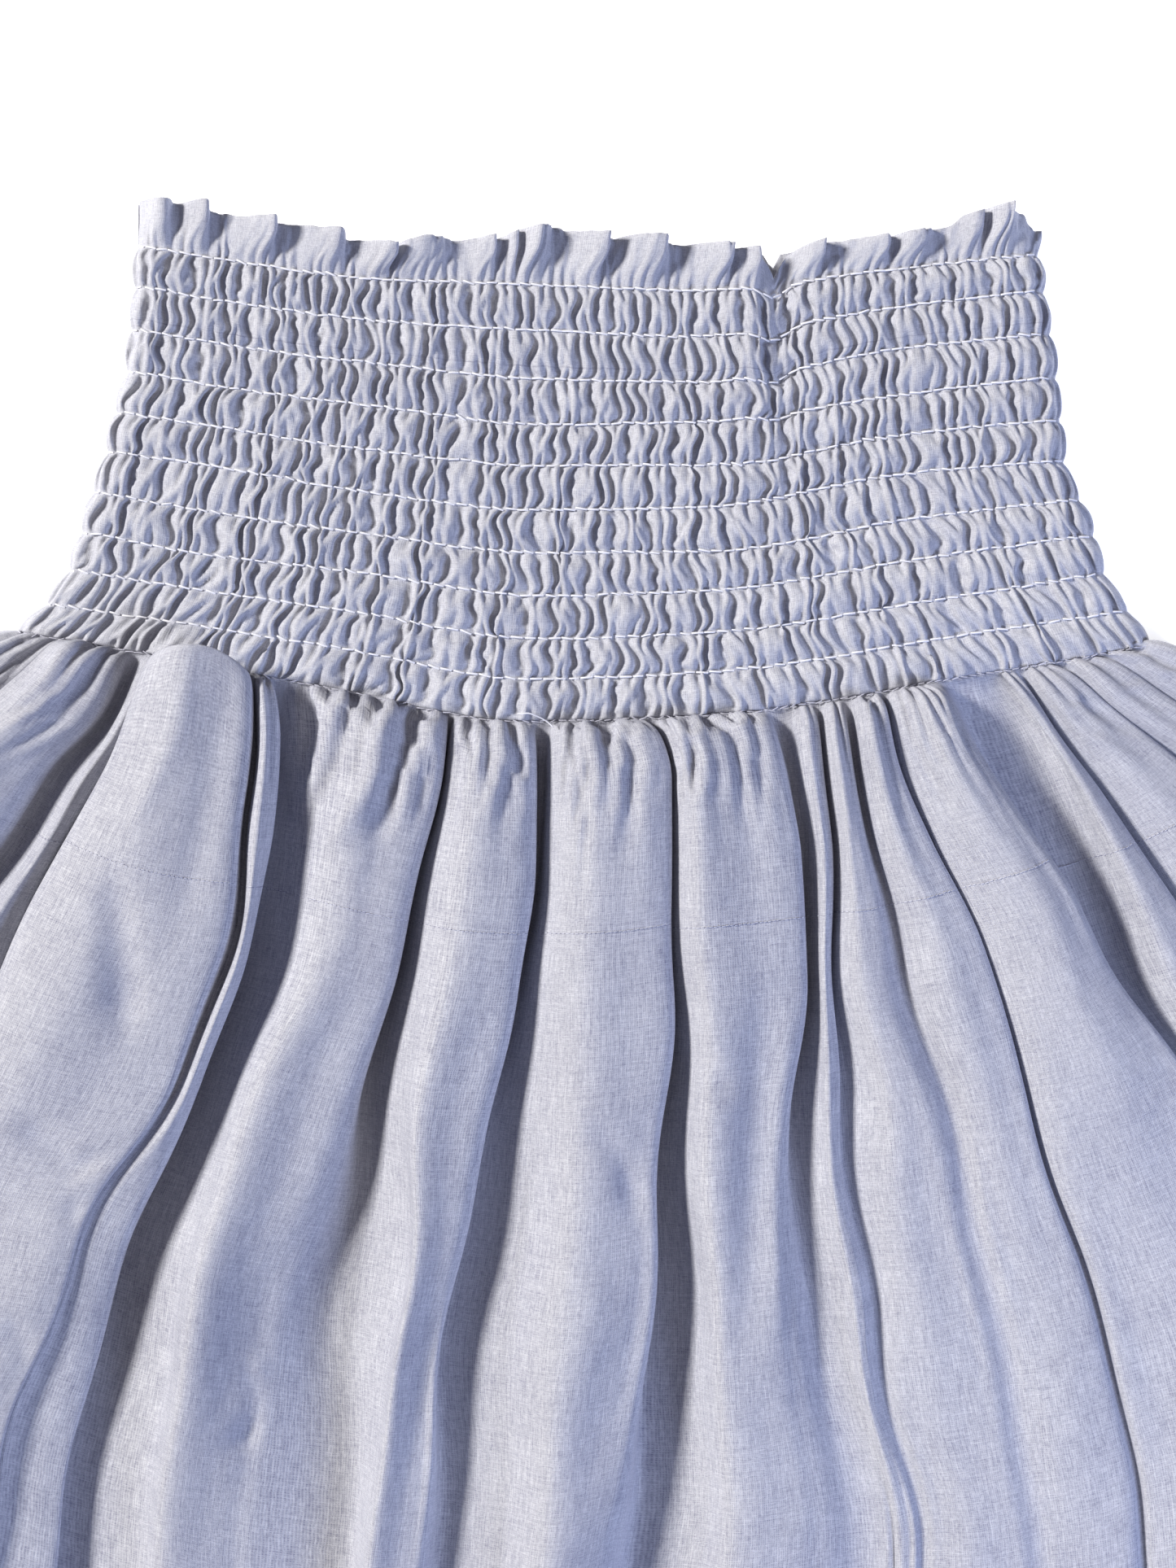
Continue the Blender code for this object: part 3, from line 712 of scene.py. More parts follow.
class Bond(NamedTuple):
    """A tie between all points of a grid that lie so many rows and columns apart.

    `rest` is their rest distance, `stiff` the share of a difference that one pull takes up, and
    `push_only` leaves pairs alone that are further apart.
    """

    rows: int
    columns: int
    rest: np.ndarray
    stiff: float
    push_only: bool = False

    def pull(self, points: np.ndarray) -> None:
        """Move the points towards their rest distance, in place.

        Args:
            points: Rows by columns by 3.
        """
        height, width = points.shape[:2]
        right = max(self.columns, 0)
        left = max(-self.columns, 0)
        first = points[:height - self.rows, left:width - right]
        second = points[self.rows:, right:width - left]
        way = second - first
        length = np.sqrt((way * way).sum(-1)) + 1e-9
        share = 1 - self.rest / length
        if self.push_only:
            share = np.minimum(share, 0)
        move = (0.5 * self.stiff * share)[..., None] * way
        first += move
        second -= move


@dataclass
class GatheredCloth:
    """Front cloth drawn up on the stitched rows and let settle into puffs between them.

    It is worked out flat: x across from the middle, y down from row one, z off the wall. A
    group is a few neighbouring stitches whose cloth rises as one fold, called a flute in the
    header. Fields named shift, sway and curl move stitches, in stitches.
    """

    pattern: BandPattern = field(default_factory=BandPattern)
    stitches: int = 80
    steps: int = 8
    seed: int = 11
    rounds: int = 130
    row_gap: float = 12.0
    header_steps: int = 13
    pinch: float = 0.65
    puff_height: float = 4.1
    flute_height: float = 6.4
    flute_lean: float = 0.75
    flute_skew_right: tuple = (1.5, 2.6)
    flute_skew_left: tuple = (0.45, 0.7)
    flute_right_share: float = 0.78
    flute_tall: tuple = (0.62, 1.15)
    flute_grow: tuple = (-0.05, 0.8)
    flute_sizes: tuple = (2, 3, 4, 5, 6)
    flute_odds: tuple = (0.18, 0.26, 0.26, 0.18, 0.12)
    group_sizes: tuple = (1, 2, 3)
    group_odds: tuple = (0.27, 0.58, 0.15)
    row_shift: float = 0.13
    own_shift: float = 0.12
    sway: float = 0.26
    curl: float = 0.20
    header_hills: tuple = (0.12, 0.72)
    dimple_reach: tuple = (0.02, 0.36)
    spare: float = 0.06
    header_spare: float = 0.3
    body_spare_down: float = 1.12
    header_spare_down: float = 1.02
    header_room: float = 7.6
    body_room: float = 3.4
    crumple: float = 0.55
    calm: float = 0.055
    held_height: float = 0.1
    stitch_drop: float = 0.12
    between: tuple = (0.0, 0.05, 0.11, 0.18, 0.26, 0.35, 0.45, 0.55, 0.65, 0.74, 0.82, 0.89, 0.95)
    levels: np.ndarray = field(init=False)
    points: np.ndarray = field(init=False)
    widths: np.ndarray = field(init=False)
    bump: np.ndarray = field(init=False)

    def __post_init__(self) -> None:
        """Lay out the levels, then shape the cloth."""
        head = [-1 + step / self.header_steps for step in range(self.header_steps)]
        body = [row + part for row in range(SEAM_LEVEL) for part in self.between]
        self.levels = np.array(head + body + [float(SEAM_LEVEL)])
        down = np.clip(self.levels, 0, None)
        part = down - np.minimum(np.floor(down), SEAM_LEVEL - 1)
        self.bump = np.sin(math.pi * np.clip(part, 0, 1)) ** 0.6
        self.widths = np.array([self.pattern.girth(level) for level in self.levels])
        self.points = self.settle()

    def heights(self) -> np.ndarray:
        """Return the y of each level before the cloth settles."""
        above = -self.levels * self.pattern.header_depth
        return np.where(self.levels >= 0, -self.levels * self.row_gap, above)

    def bunch(self, rng: np.random.Generator, sizes: tuple, odds: tuple) -> np.ndarray:
        """Draw groups of neighbouring stitches whose cloth rises as one fold.

        Args:
            rng: Source of chance.
            sizes: Group sizes to choose from.
            odds: How often each is chosen.

        Returns:
            The stitch numbers where groups meet, with both ends.
        """
        bounds = [0]
        while bounds[-1] < self.stitches:
            bounds.append(min(bounds[-1] + int(rng.choice(sizes, p=odds)), self.stitches))
        return np.array(bounds)

    def first_shape(self, rng: np.random.Generator) -> tuple:
        """Shape the puffs and the header's flutes before they settle.

        Args:
            rng: Source of chance.

        Returns:
            Levels by columns by 3 points, and the places of the stitches in each row.
        """
        count = self.stitches
        knots = np.arange(count + 1)
        phase = np.arange(count * self.steps + 1) / self.steps
        own = phase - np.minimum(phase.astype(int), count - 1)
        hill = 0.5 - 0.5 * np.cos(2 * math.pi * own)
        even = knots / count
        fade = np.clip(np.minimum(even, 1 - even) * count / 2, 0, 1) / count
        drift = np.cumsum(rng.normal(0, self.row_shift, (SEAM_LEVEL + 1, count + 1)), axis=0)
        places = even + fade * (drift + rng.normal(0, self.own_shift, drift.shape))
        places = np.maximum.accumulate(places, axis=1)
        sways = fade * rng.normal(0, self.sway, drift.shape)
        curls = fade * rng.normal(0, self.curl, drift.shape)
        groups = [self.bunch(rng, self.group_sizes, self.group_odds) for _ in range(SEAM_LEVEL)]
        flutes = self.bunch(rng, self.flute_sizes, self.flute_odds)
        skew = np.where(rng.random(len(flutes)) < self.flute_right_share,
                        rng.uniform(*self.flute_skew_right, len(flutes)),
                        rng.uniform(*self.flute_skew_left, len(flutes)))
        tall = rng.uniform(*self.flute_tall, len(flutes))
        shape = np.zeros((len(self.levels), len(phase), 3))
        shape[..., 1] = self.heights()[:, None]
        for number, level in enumerate(self.levels):
            bounds = flutes if level < 0 else groups[min(int(level), SEAM_LEVEL - 1)]
            group = np.clip(np.searchsorted(bounds, phase, side="right") - 1, 0, len(bounds) - 2)
            size = (bounds[group + 1] - bounds[group]).astype(float)
            across = (phase - bounds[group]) / size
            if level < 0:
                x = np.interp(phase, knots, places[0])
                grow = float(ease(np.array(-level), *self.flute_grow))
                rise = np.sin(math.pi * across ** skew[group]) ** 1.4
                fold = self.flute_height * tall[group] * np.minimum(1.15, 0.4 + 0.2 * size) * rise
                near = 1 - float(ease(np.array(-level), *self.header_hills))
                height = 1.4 * self.pinch * hill * near + grow * fold
            else:
                row = min(int(level), SEAM_LEVEL - 1)
                t = level - row
                turn = 0.5 - 0.5 * math.cos(math.pi * t)
                line = places[row] * (1 - turn) + places[row + 1] * turn
                line = line + sways[row] * math.sin(math.pi * t)
                line = line + curls[row] * math.sin(2 * math.pi * t)
                x = np.interp(phase, knots, np.maximum.accumulate(line))
                bump = self.bump[number]
                high = np.minimum(self.puff_height, 1.4 + 1.0 * size)
                puff = high * np.abs(np.sin(math.pi * across)) ** 0.85
                near = 1 - float(ease(np.array(min(t, 1 - t)), *self.dimple_reach))
                dimple = near * (1 - hill) ** 2.2
                height = self.pinch * hill * (1 - bump) + bump * puff * (1 - 0.75 * dimple)
            shape[number, :, 0] = (x - 0.5) * self.widths[number]
            shape[number, :, 2] = height
        return shape, places

    def settle(self) -> np.ndarray:
        """Let the cloth keep its own lengths while the stitches hold it down.

        Returns:
            Levels by columns by 3 points, with columns rising in x and levels falling in y.
        """
        rng = np.random.default_rng(self.seed)
        points, places = self.first_shape(rng)
        lengths = np.linalg.norm(np.diff(points, axis=1), axis=2)
        window = np.hanning(2 * self.steps + 3)[1:-1]
        window /= window.sum()
        across = np.array([np.convolve(np.pad(row, self.steps, mode="edge"), window, "valid")
                           for row in lengths])
        across *= (1 + self.spare * np.where(self.levels < 0, self.header_spare,
                                             self.bump))[:, None]
        down = np.abs(np.diff(self.heights()))
        down *= np.where(self.levels[1:] > 0, self.body_spare_down, self.header_spare_down)
        down = down[:, None]
        slant = np.hypot(0.5 * (across[1:] + across[:-1]), down)
        two_across = 0.95 * (across[:, 1:] + across[:, :-1])
        three_across = 0.85 * (across[:, 2:] + across[:, 1:-1] + across[:, :-2])
        two_down = 0.97 * (down[1:] + down[:-1])
        bonds = (Bond(0, 1, across, stiff=0.9), Bond(1, 0, down, stiff=0.8),
                 Bond(1, 1, slant, stiff=0.16), Bond(1, -1, slant, stiff=0.16),
                 Bond(0, 2, two_across, stiff=0.4, push_only=True),
                 Bond(0, 3, three_across, stiff=0.15, push_only=True),
                 Bond(2, 0, two_down, stiff=0.4, push_only=True))
        up = np.clip(-self.levels, 0, 1)
        room = self.pinch + np.where(up > 0, self.header_room * up ** 0.6,
                                     self.body_room * self.bump ** 0.75)
        room = room[:, None]
        rows = [self.header_steps + len(self.between) * row for row in range(SEAM_LEVEL + 1)]
        held = np.arange(0, points.shape[1], self.steps)
        crumple = ripple(points[..., 0] / 4.2, points[..., 1] / 3.6, 41, 14)
        crumple = crumple + 0.7 * ripple(points[..., 0] / 2.6, points[..., 1] / 2.9, 42, 14)
        share = np.where(self.levels < 0, 0.8, self.bump)[:, None]
        points[..., 2] += self.crumple * crumple * share
        stitch_x = (places - 0.5) * self.widths[rows][:, None]
        stitch_y = points[rows, 0, 1][:, None] + rng.normal(0, self.stitch_drop, places.shape)
        line_y = np.array([np.interp(np.arange(points.shape[1]), held, row) for row in stitch_y])
        for turn in range(self.rounds):
            for bond in bonds:
                bond.pull(points)
            if turn % 2 == 0:
                mean = 0.25 * (points[1:-1, :-2] + points[1:-1, 2:] + points[:-2, 1:-1]
                               + points[2:, 1:-1])
                points[1:-1, 1:-1] += self.calm * (mean - points[1:-1, 1:-1])
            height = points[..., 2]
            np.clip(height, 0.0, None, out=height)
            height -= 0.5 * np.maximum(height - room, 0)
            spread(points[..., 0].T, 0.07)
            spread(points[::-1, :, 1], 0.10)
            points[rows, :, 1] += 0.5 * (line_y - points[rows, :, 1])
            for number, row in enumerate(rows):
                points[row, held, 0] = stitch_x[number]
                points[row, held, 1] = stitch_y[number]
                points[row, held, 2] = self.held_height
            for side, sign in ((0, -0.5), (-1, 0.5)):
                points[:, side, 0] = sign * self.widths
                points[:, side, 2] = self.held_height
        return points


def spread(values: np.ndarray, least: float) -> None:
    """Keep neighbours along the first axis apart and rising, in place.

    Args:
        values: The values.
        least: Least step from one to the next.
    """
    lack = 0.5 * np.maximum(least - np.diff(values, axis=0), 0)
    values[:-1] -= lack
    values[1:] += lack


# The skirt's pattern


class Pleat(NamedTuple):
    """A pleat of the front panel; see the sizes beside STATIONS and HEIGHT_STATIONS."""

    name: str
    edge: tuple
    gap: tuple
    lift: tuple
    floor: tuple
    tuck: tuple
    crown: tuple
    flank: tuple
    back: tuple
    puff: float


# `edge` is the x of a pleat's right edge and `gap` the distance on to the next pleat's flank,
# at STATIONS along the cloth from the seam. `lift` is the crown's height, `floor` the height of
# the valley after it and `tuck` how far that valley runs back under the edge, at
# HEIGHT_STATIONS. `crown` places the crest across the pleat, `flank` is the height of its left
# side and `back` that of its right half as shares of the whole, each near the seam and further
# down. `puff` swells the pleat over the band.
STATIONS = (0.0, 20.0, 45.0, 80.0, 120.0, 180.0, 250.0, 795.0)
HEIGHT_STATIONS = (20.0, 80.0, 180.0, 250.0, 795.0)
SIDE_X = (165.2, 184.0, 208.0, 240.0, 271.0, 310.0, 346.0, 442.0)
PLEATS = (
    Pleat("side_left", (-152, -167, -187.5, -215, -243, -273, -293, -368),
          (2.4, 2.4, 2.5, 3, 3.5, 4, 5, 24), (13, 15, 15, 14, 9), (3.4, 2.4, 2.2, 2.2, 2.4),
          (1.5, 2, 0, -2, -11), (0.45, 0.45), (0.5, 0.4), (0.8, 0.8), 0),
    Pleat("puff_left", (-132.5, -141.5, -159.6, -179.3, -199.6, -226.6, -251.5, -316),
          (2.6, 4.4, 8.5, 10.1, 10.1, 10.3, 10.1, 22), (19, 21, 20, 18, 10),
          (4.5, 3.2, 2.4, 2.2, 2.4), (-1, -3.5, -4, -4, -10), (0.5, 0.45), (0.5, 0.5),
          (0.8, 0.8), 2),
    Pleat("rib_left", (-122.5, -130.6, -144.4, -161.6, -178.4, -201.7, -222.5, -280),
          (1.4, 1.2, 1.2, 1.4, 2, 2, 2.4, 22), (12, 15, 14, 13, 9), (3.4, 2.2, 2.0, 2.0, 2.4),
          (-2.5, -3.5, -3.5, -3.5, -11), (0.5, 0.5), (0.5, 0.5), (0.8, 0.8), 0),
    Pleat("big_left", (-98, -96.5, -100.2, -105.5, -119.5, -147.5, -170, -240),
          (1.2, 1.6, 2.6, 4, 3.4, 1.6, 2, 14), (26, 26, 21.5, 19.5, 10), (8.5, 14.5, 16.3, 15.2, 8),
          (1, -2, 0.3, 0, -7), (0.48, 0.4), (0.55, 0.5), (0.88, 0.5), 21),
    Pleat("big_right", (-91, -88.6, -90.2, -98.4, -110.8, -134.5, -151.5, -205),
          (1.6, 1.6, 2.6, 4, 6, 15, 22, 30), (21, 22, 14.3, 12.6, 9.5), (4, 1.6, 0.9, 0.9, 2.4),
          (2, 3.5, 4.5, 4, -12), (0.5, 0.45), (0.6, 0.4), (0.9, 0.9), 4),
    Pleat("second", (-39.3, -41.6, -47.8, -55.3, -66.8, -87.5, -96.9, -138),
          (1.0, 1.6, 3.8, 6, 14, 33, 32, 26), (18, 19, 19, 16, 9), (4, 1.4, 1.2, 3.0, 4),
          (2, 2.5, -13, -21, -13), (0.55, 0.34), (0.12, 0.34), (0.96, 0.72), 2),
    Pleat("third", (-14.8, -14.5, -14.7, -19, -27.3, -40.6, -47.2, -74),
          (6, 5.2, 4.4, 6, 9.6, 16, 20, 26), (19, 21, 19, 16, 9), (3, 1.2, 1.2, 2.0, 2.4),
          (-1, 1.5, 1, -5, -13), (0.42, 0.28), (0.5, 0.5), (0.95, 0.8), 1),
    Pleat("middle", (19.3, 25.4, 25.5, 26.1, 23.8, 19.9, 8.1, -8),
          (1.0, 1.0, 1.0, 2.4, 5, 12, 24, 28), (20, 21, 19, 17, 9), (4, 2.2, 1.4, 1.6, 2.4),
          (2, 3.5, 1, -6, -14), (0.42, 0.55), (0.5, 0.22), (0.94, 1.0), 1),
    Pleat("fifth", (53.1, 58, 63.1, 65, 60, 62, 70, 62),
          (8.3, 6.4, 5, 3.4, 9, 14.7, 19.6, 26), (20, 21, 18, 15.5, 9),
          (4.5, 2.0, 8.0, 8.0, 6), (-3, 1.5, -5, -9, -11), (0.3, 0.36), (0.5, 0.22),
          (0.78, 0.76), 2),
    Pleat("rib_right", (68.4, 70.2, 72.8, 73.4, 74.2, 82.4, 95.4, 112),
          (1.0, 1.6, 1.8, 2.0, 6.4, 6, 5.4, 24), (14, 15, 13.4, 12.6, 9), (6, 6.0, 9.5, 9.8, 7),
          (0.8, 0.8, -2, -2, -9), (0.5, 0.5), (0.5, 0.5), (0.85, 0.85), 0.5),
    Pleat("sixth_rib", (76.2, 78.6, 82.6, 90.3, 100, 113, 127, 156),
          (2.6, 3, 4, 7, 8, 10, 10, 14), (16, 17, 16, 15, 9), (7, 10.5, 13.2, 12.8, 8),
          (-0.8, -3, -4, -4, -7), (0.5, 0.5), (0.45, 0.3), (0.9, 0.95), 0),
    Pleat("sixth", (87.6, 91.4, 101, 116.5, 127.1, 143.5, 160.5, 202),
          (1.0, 1.6, 1.8, 2.0, 2.4, 3, 4, 20), (19, 19, 16.5, 15, 9), (4, 9.0, 12.2, 11.5, 6),
          (2, 2.6, -1, -1.5, -9), (0.5, 0.5), (0.5, 0.5), (0.85, 0.95), 1),
    Pleat("seventh", (103.5, 112.6, 126.4, 144.3, 166, 195.6, 223.5, 258),
          (15, 19, 16, 9, 6, 5.8, 7, 22), (20, 23, 18, 16, 10), (2.4, 1.2, 6, 8, 5),
          (-3, 2, 1, 0, -11), (0.6, 0.5), (0.5, 0.5), (1.0, 0.92), 1),
    Pleat("eighth", (127, 137.2, 151.9, 171.3, 192.6, 221.8, 252.3, 304),
          (1.2, 1.6, 2.6, 3.5, 3.5, 3.6, 3.7, 22), (13, 16, 16, 15, 10), (4, 3.4, 8, 8, 5),
          (1, 2, 1, 0, -11), (0.65, 0.5), (0.06, 0.45), (0.9, 0.92), 0),
    Pleat("ninth", (138, 152.4, 172.2, 198.8, 224.6, 255.4, 285.9, 348),
          (1.6, 2.0, 3, 3.5, 4, 4, 5, 22), (13, 15, 15, 14, 9), (3.6, 3.4, 8, 8, 5),
          (1, 2, 1, 0, -11), (0.5, 0.5), (0.5, 0.5), (0.9, 0.92), 0),
    Pleat("tenth", (149.5, 166, 187, 214.4, 242.9, 276.7, 309.9, 390),
          (2.0, 2.2, 3, 3.5, 4, 4, 5, 22), (12, 14, 14, 13, 9), (3.4, 3.2, 7.5, 7.5, 5),
          (1, 2, 1, 0, -11), (0.5, 0.5), (0.5, 0.5), (0.9, 0.92), 0),
    Pleat("side_right", SIDE_X, (0,) * 8, (12, 14, 14, 13, 9), (3.4, 2.4, 2.2, 2.2, 2.4),
          (0, 0, 0, 0, 0), (0.55, 0.55), (0.5, 0.5), (0.8, 0.8), 0),
)
BACK_TUCKS = ("puff_left", "big_left", "second", "third", "fifth", "sixth", "seventh", "ninth")


class Crease(NamedTuple):
    """A soft trough (negative depth) or ridge in a pleat's crown, along points of x and y."""

    pleat: str
    points: tuple
    width: float
    depth: float


CREASES = (
    Crease("big_left", ((-135, -48), (-134.2, -64), (-132.8, -90)), 6, -3.4),
    Crease("big_left", ((-127.9, -142.9), (-144.5, -171.4), (-151.7, -207.1),
                        (-158.8, -242.9)), 6.2, -1.8),
    Crease("big_left", ((-150.5, -141.2), (-133, -157.1)), 3, -2.4),
    Crease("big_left", ((-163, -118), (-148, -131), (-139, -128)), 3.4, -2),
    Crease("big_left", ((-168, -176), (-156, -190)), 3.2, -2),
    Crease("middle", ((2, -118), (12, -131), (15, -146)), 3.2, -1.6),
    Crease("fifth", ((34, -96), (42, -110)), 3, -1.5),
    Crease("big_left", ((-113.6, 15.5), (-117.1, -4.8), (-130.2, -31)), 3.3, 0.9),
    Crease("big_left", ((-102.9, 11.9), (-108.3, -23.8), (-114.8, -57.1)), 4.3, -0.9),
    Crease("second", ((-81.4, 5.2), (-82.1, -15.5)), 3.6, -2),
    Crease("second", ((-70.7, 6), (-76.7, -11.9), (-87.4, -35.7)), 3.1, 1.8),
    Crease("second", ((-58.8, 5.2), (-59.3, -16.7), (-75.5, -38.1)), 4.4, 2.2),
    Crease("second", ((-54.8, -17.9), (-60.4, -34.5)), 3.4, -1.4),
    Crease("second", ((-49.5, 2.9), (-48.8, -8.3)), 1.3, -1.4),
    Crease("second", ((-44.5, 1.9), (-52.9, -31)), 1.9, 1.8),
    Crease("second", ((-41, 0), (-45.7, -28.6)), 1.4, 1.2),
    Crease("second", ((-75.5, -159.5), (-81.4, -181), (-84.5, -192.9)), 3.2, -3),
    Crease("second", ((-96, -188.9), (-80.7, -200.4)), 3, 2.6),
    Crease("second", ((-104, -214), (-92, -206), (-84, -222)), 3.4, -2.4),
    Crease("second", ((-70.7, -42.9), (-75.5, -66.7)), 4.8, -0.8),
    Crease("third", ((-21.2, -2.4), (-18.1, -16.7)), 1.5, -1.3),
    Crease("third", ((-27.9, -2.4), (-28.3, -19)), 1.5, -0.7),
    Crease("third", ((-63.1, -171.4), (-66, -219), (-66, -249.3)), 2.4, -1.3),
    Crease("middle", ((6.7, 0), (7.1, -6.7)), 1.3, -1.6),
    Crease("middle", ((-16, -135.7), (-21.9, -171.4)), 1.9, -0.9),
    Crease("middle", ((13.8, -4.8), (14.5, -23.8)), 2.1, -0.6),
    Crease("middle", ((-4, -4.8), (-6, -28.6)), 2.1, -0.5),
    Crease("fifth", ((28.8, -1.2), (27.4, -26.2)), 1.7, 1.2),
    Crease("fifth", ((32.4, -8.3), (31.9, -21.9)), 1.5, -2.2),
    Crease("fifth", ((51.9, -83.3), (49.5, -135.7), (44.8, -195.2)), 6.2, -1.4),
    Crease("fifth", ((60.2, -88.1), (57.9, -135.7), (56.7, -176.2)), 3.3, 0.8),
    Crease("fifth", ((63.8, -147.6), (70.2, -207.1)), 4.3, -1),
    Crease("sixth", ((78.1, -11.9), (81.2, -40.5), (86.4, -66.7), (92.4, -83.3)), 2.9, -2.4),
    Crease("sixth", ((79.3, -19), (81.7, -40.5), (90, -71.4), (96, -95.2),
                     (101.9, -119), (107.9, -135.7)), 2.1, 0.9),
    Crease("sixth", ((76.9, -123.8), (85.2, -171.4), (93.6, -231)), 3.3, -1.6),
    Crease("seventh", ((99.5, 7.1), (105.5, -4.8)), 1.3, -1.2),
    Crease("seventh", ((105.5, 7.6), (113.1, -6.7)), 1.3, -1.3),
    Crease("seventh", ((111.7, 8.3), (116.7, -4.8)), 1.4, -1),
    Crease("seventh", ((91.2, -19), (103.1, -38.1), (112.6, -64.3)), 2.9, 0.7),
    Crease("seventh", ((110.2, -88.1), (118.6, -128.6), (124.5, -171.4)), 3.8, -1),
    Crease("eighth", ((146, -52.4), (153.1, -81), (167.4, -128.6)), 3.3, -1),
    Crease("ninth", ((146, 4.8), (162.6, -4.8)), 1.9, -0.9),
)


class FoldLine(NamedTuple):
    """A line of a panel from seam to hem, with its x and height at every millimetre of cloth.

    `puff` is how far it swells over the band, `pleat` its pleat's number and `crown` whether a
    pleat's crown lies on its right.
    """

    x: np.ndarray
    z: np.ndarray
    puff: float
    pleat: int
    crown: bool


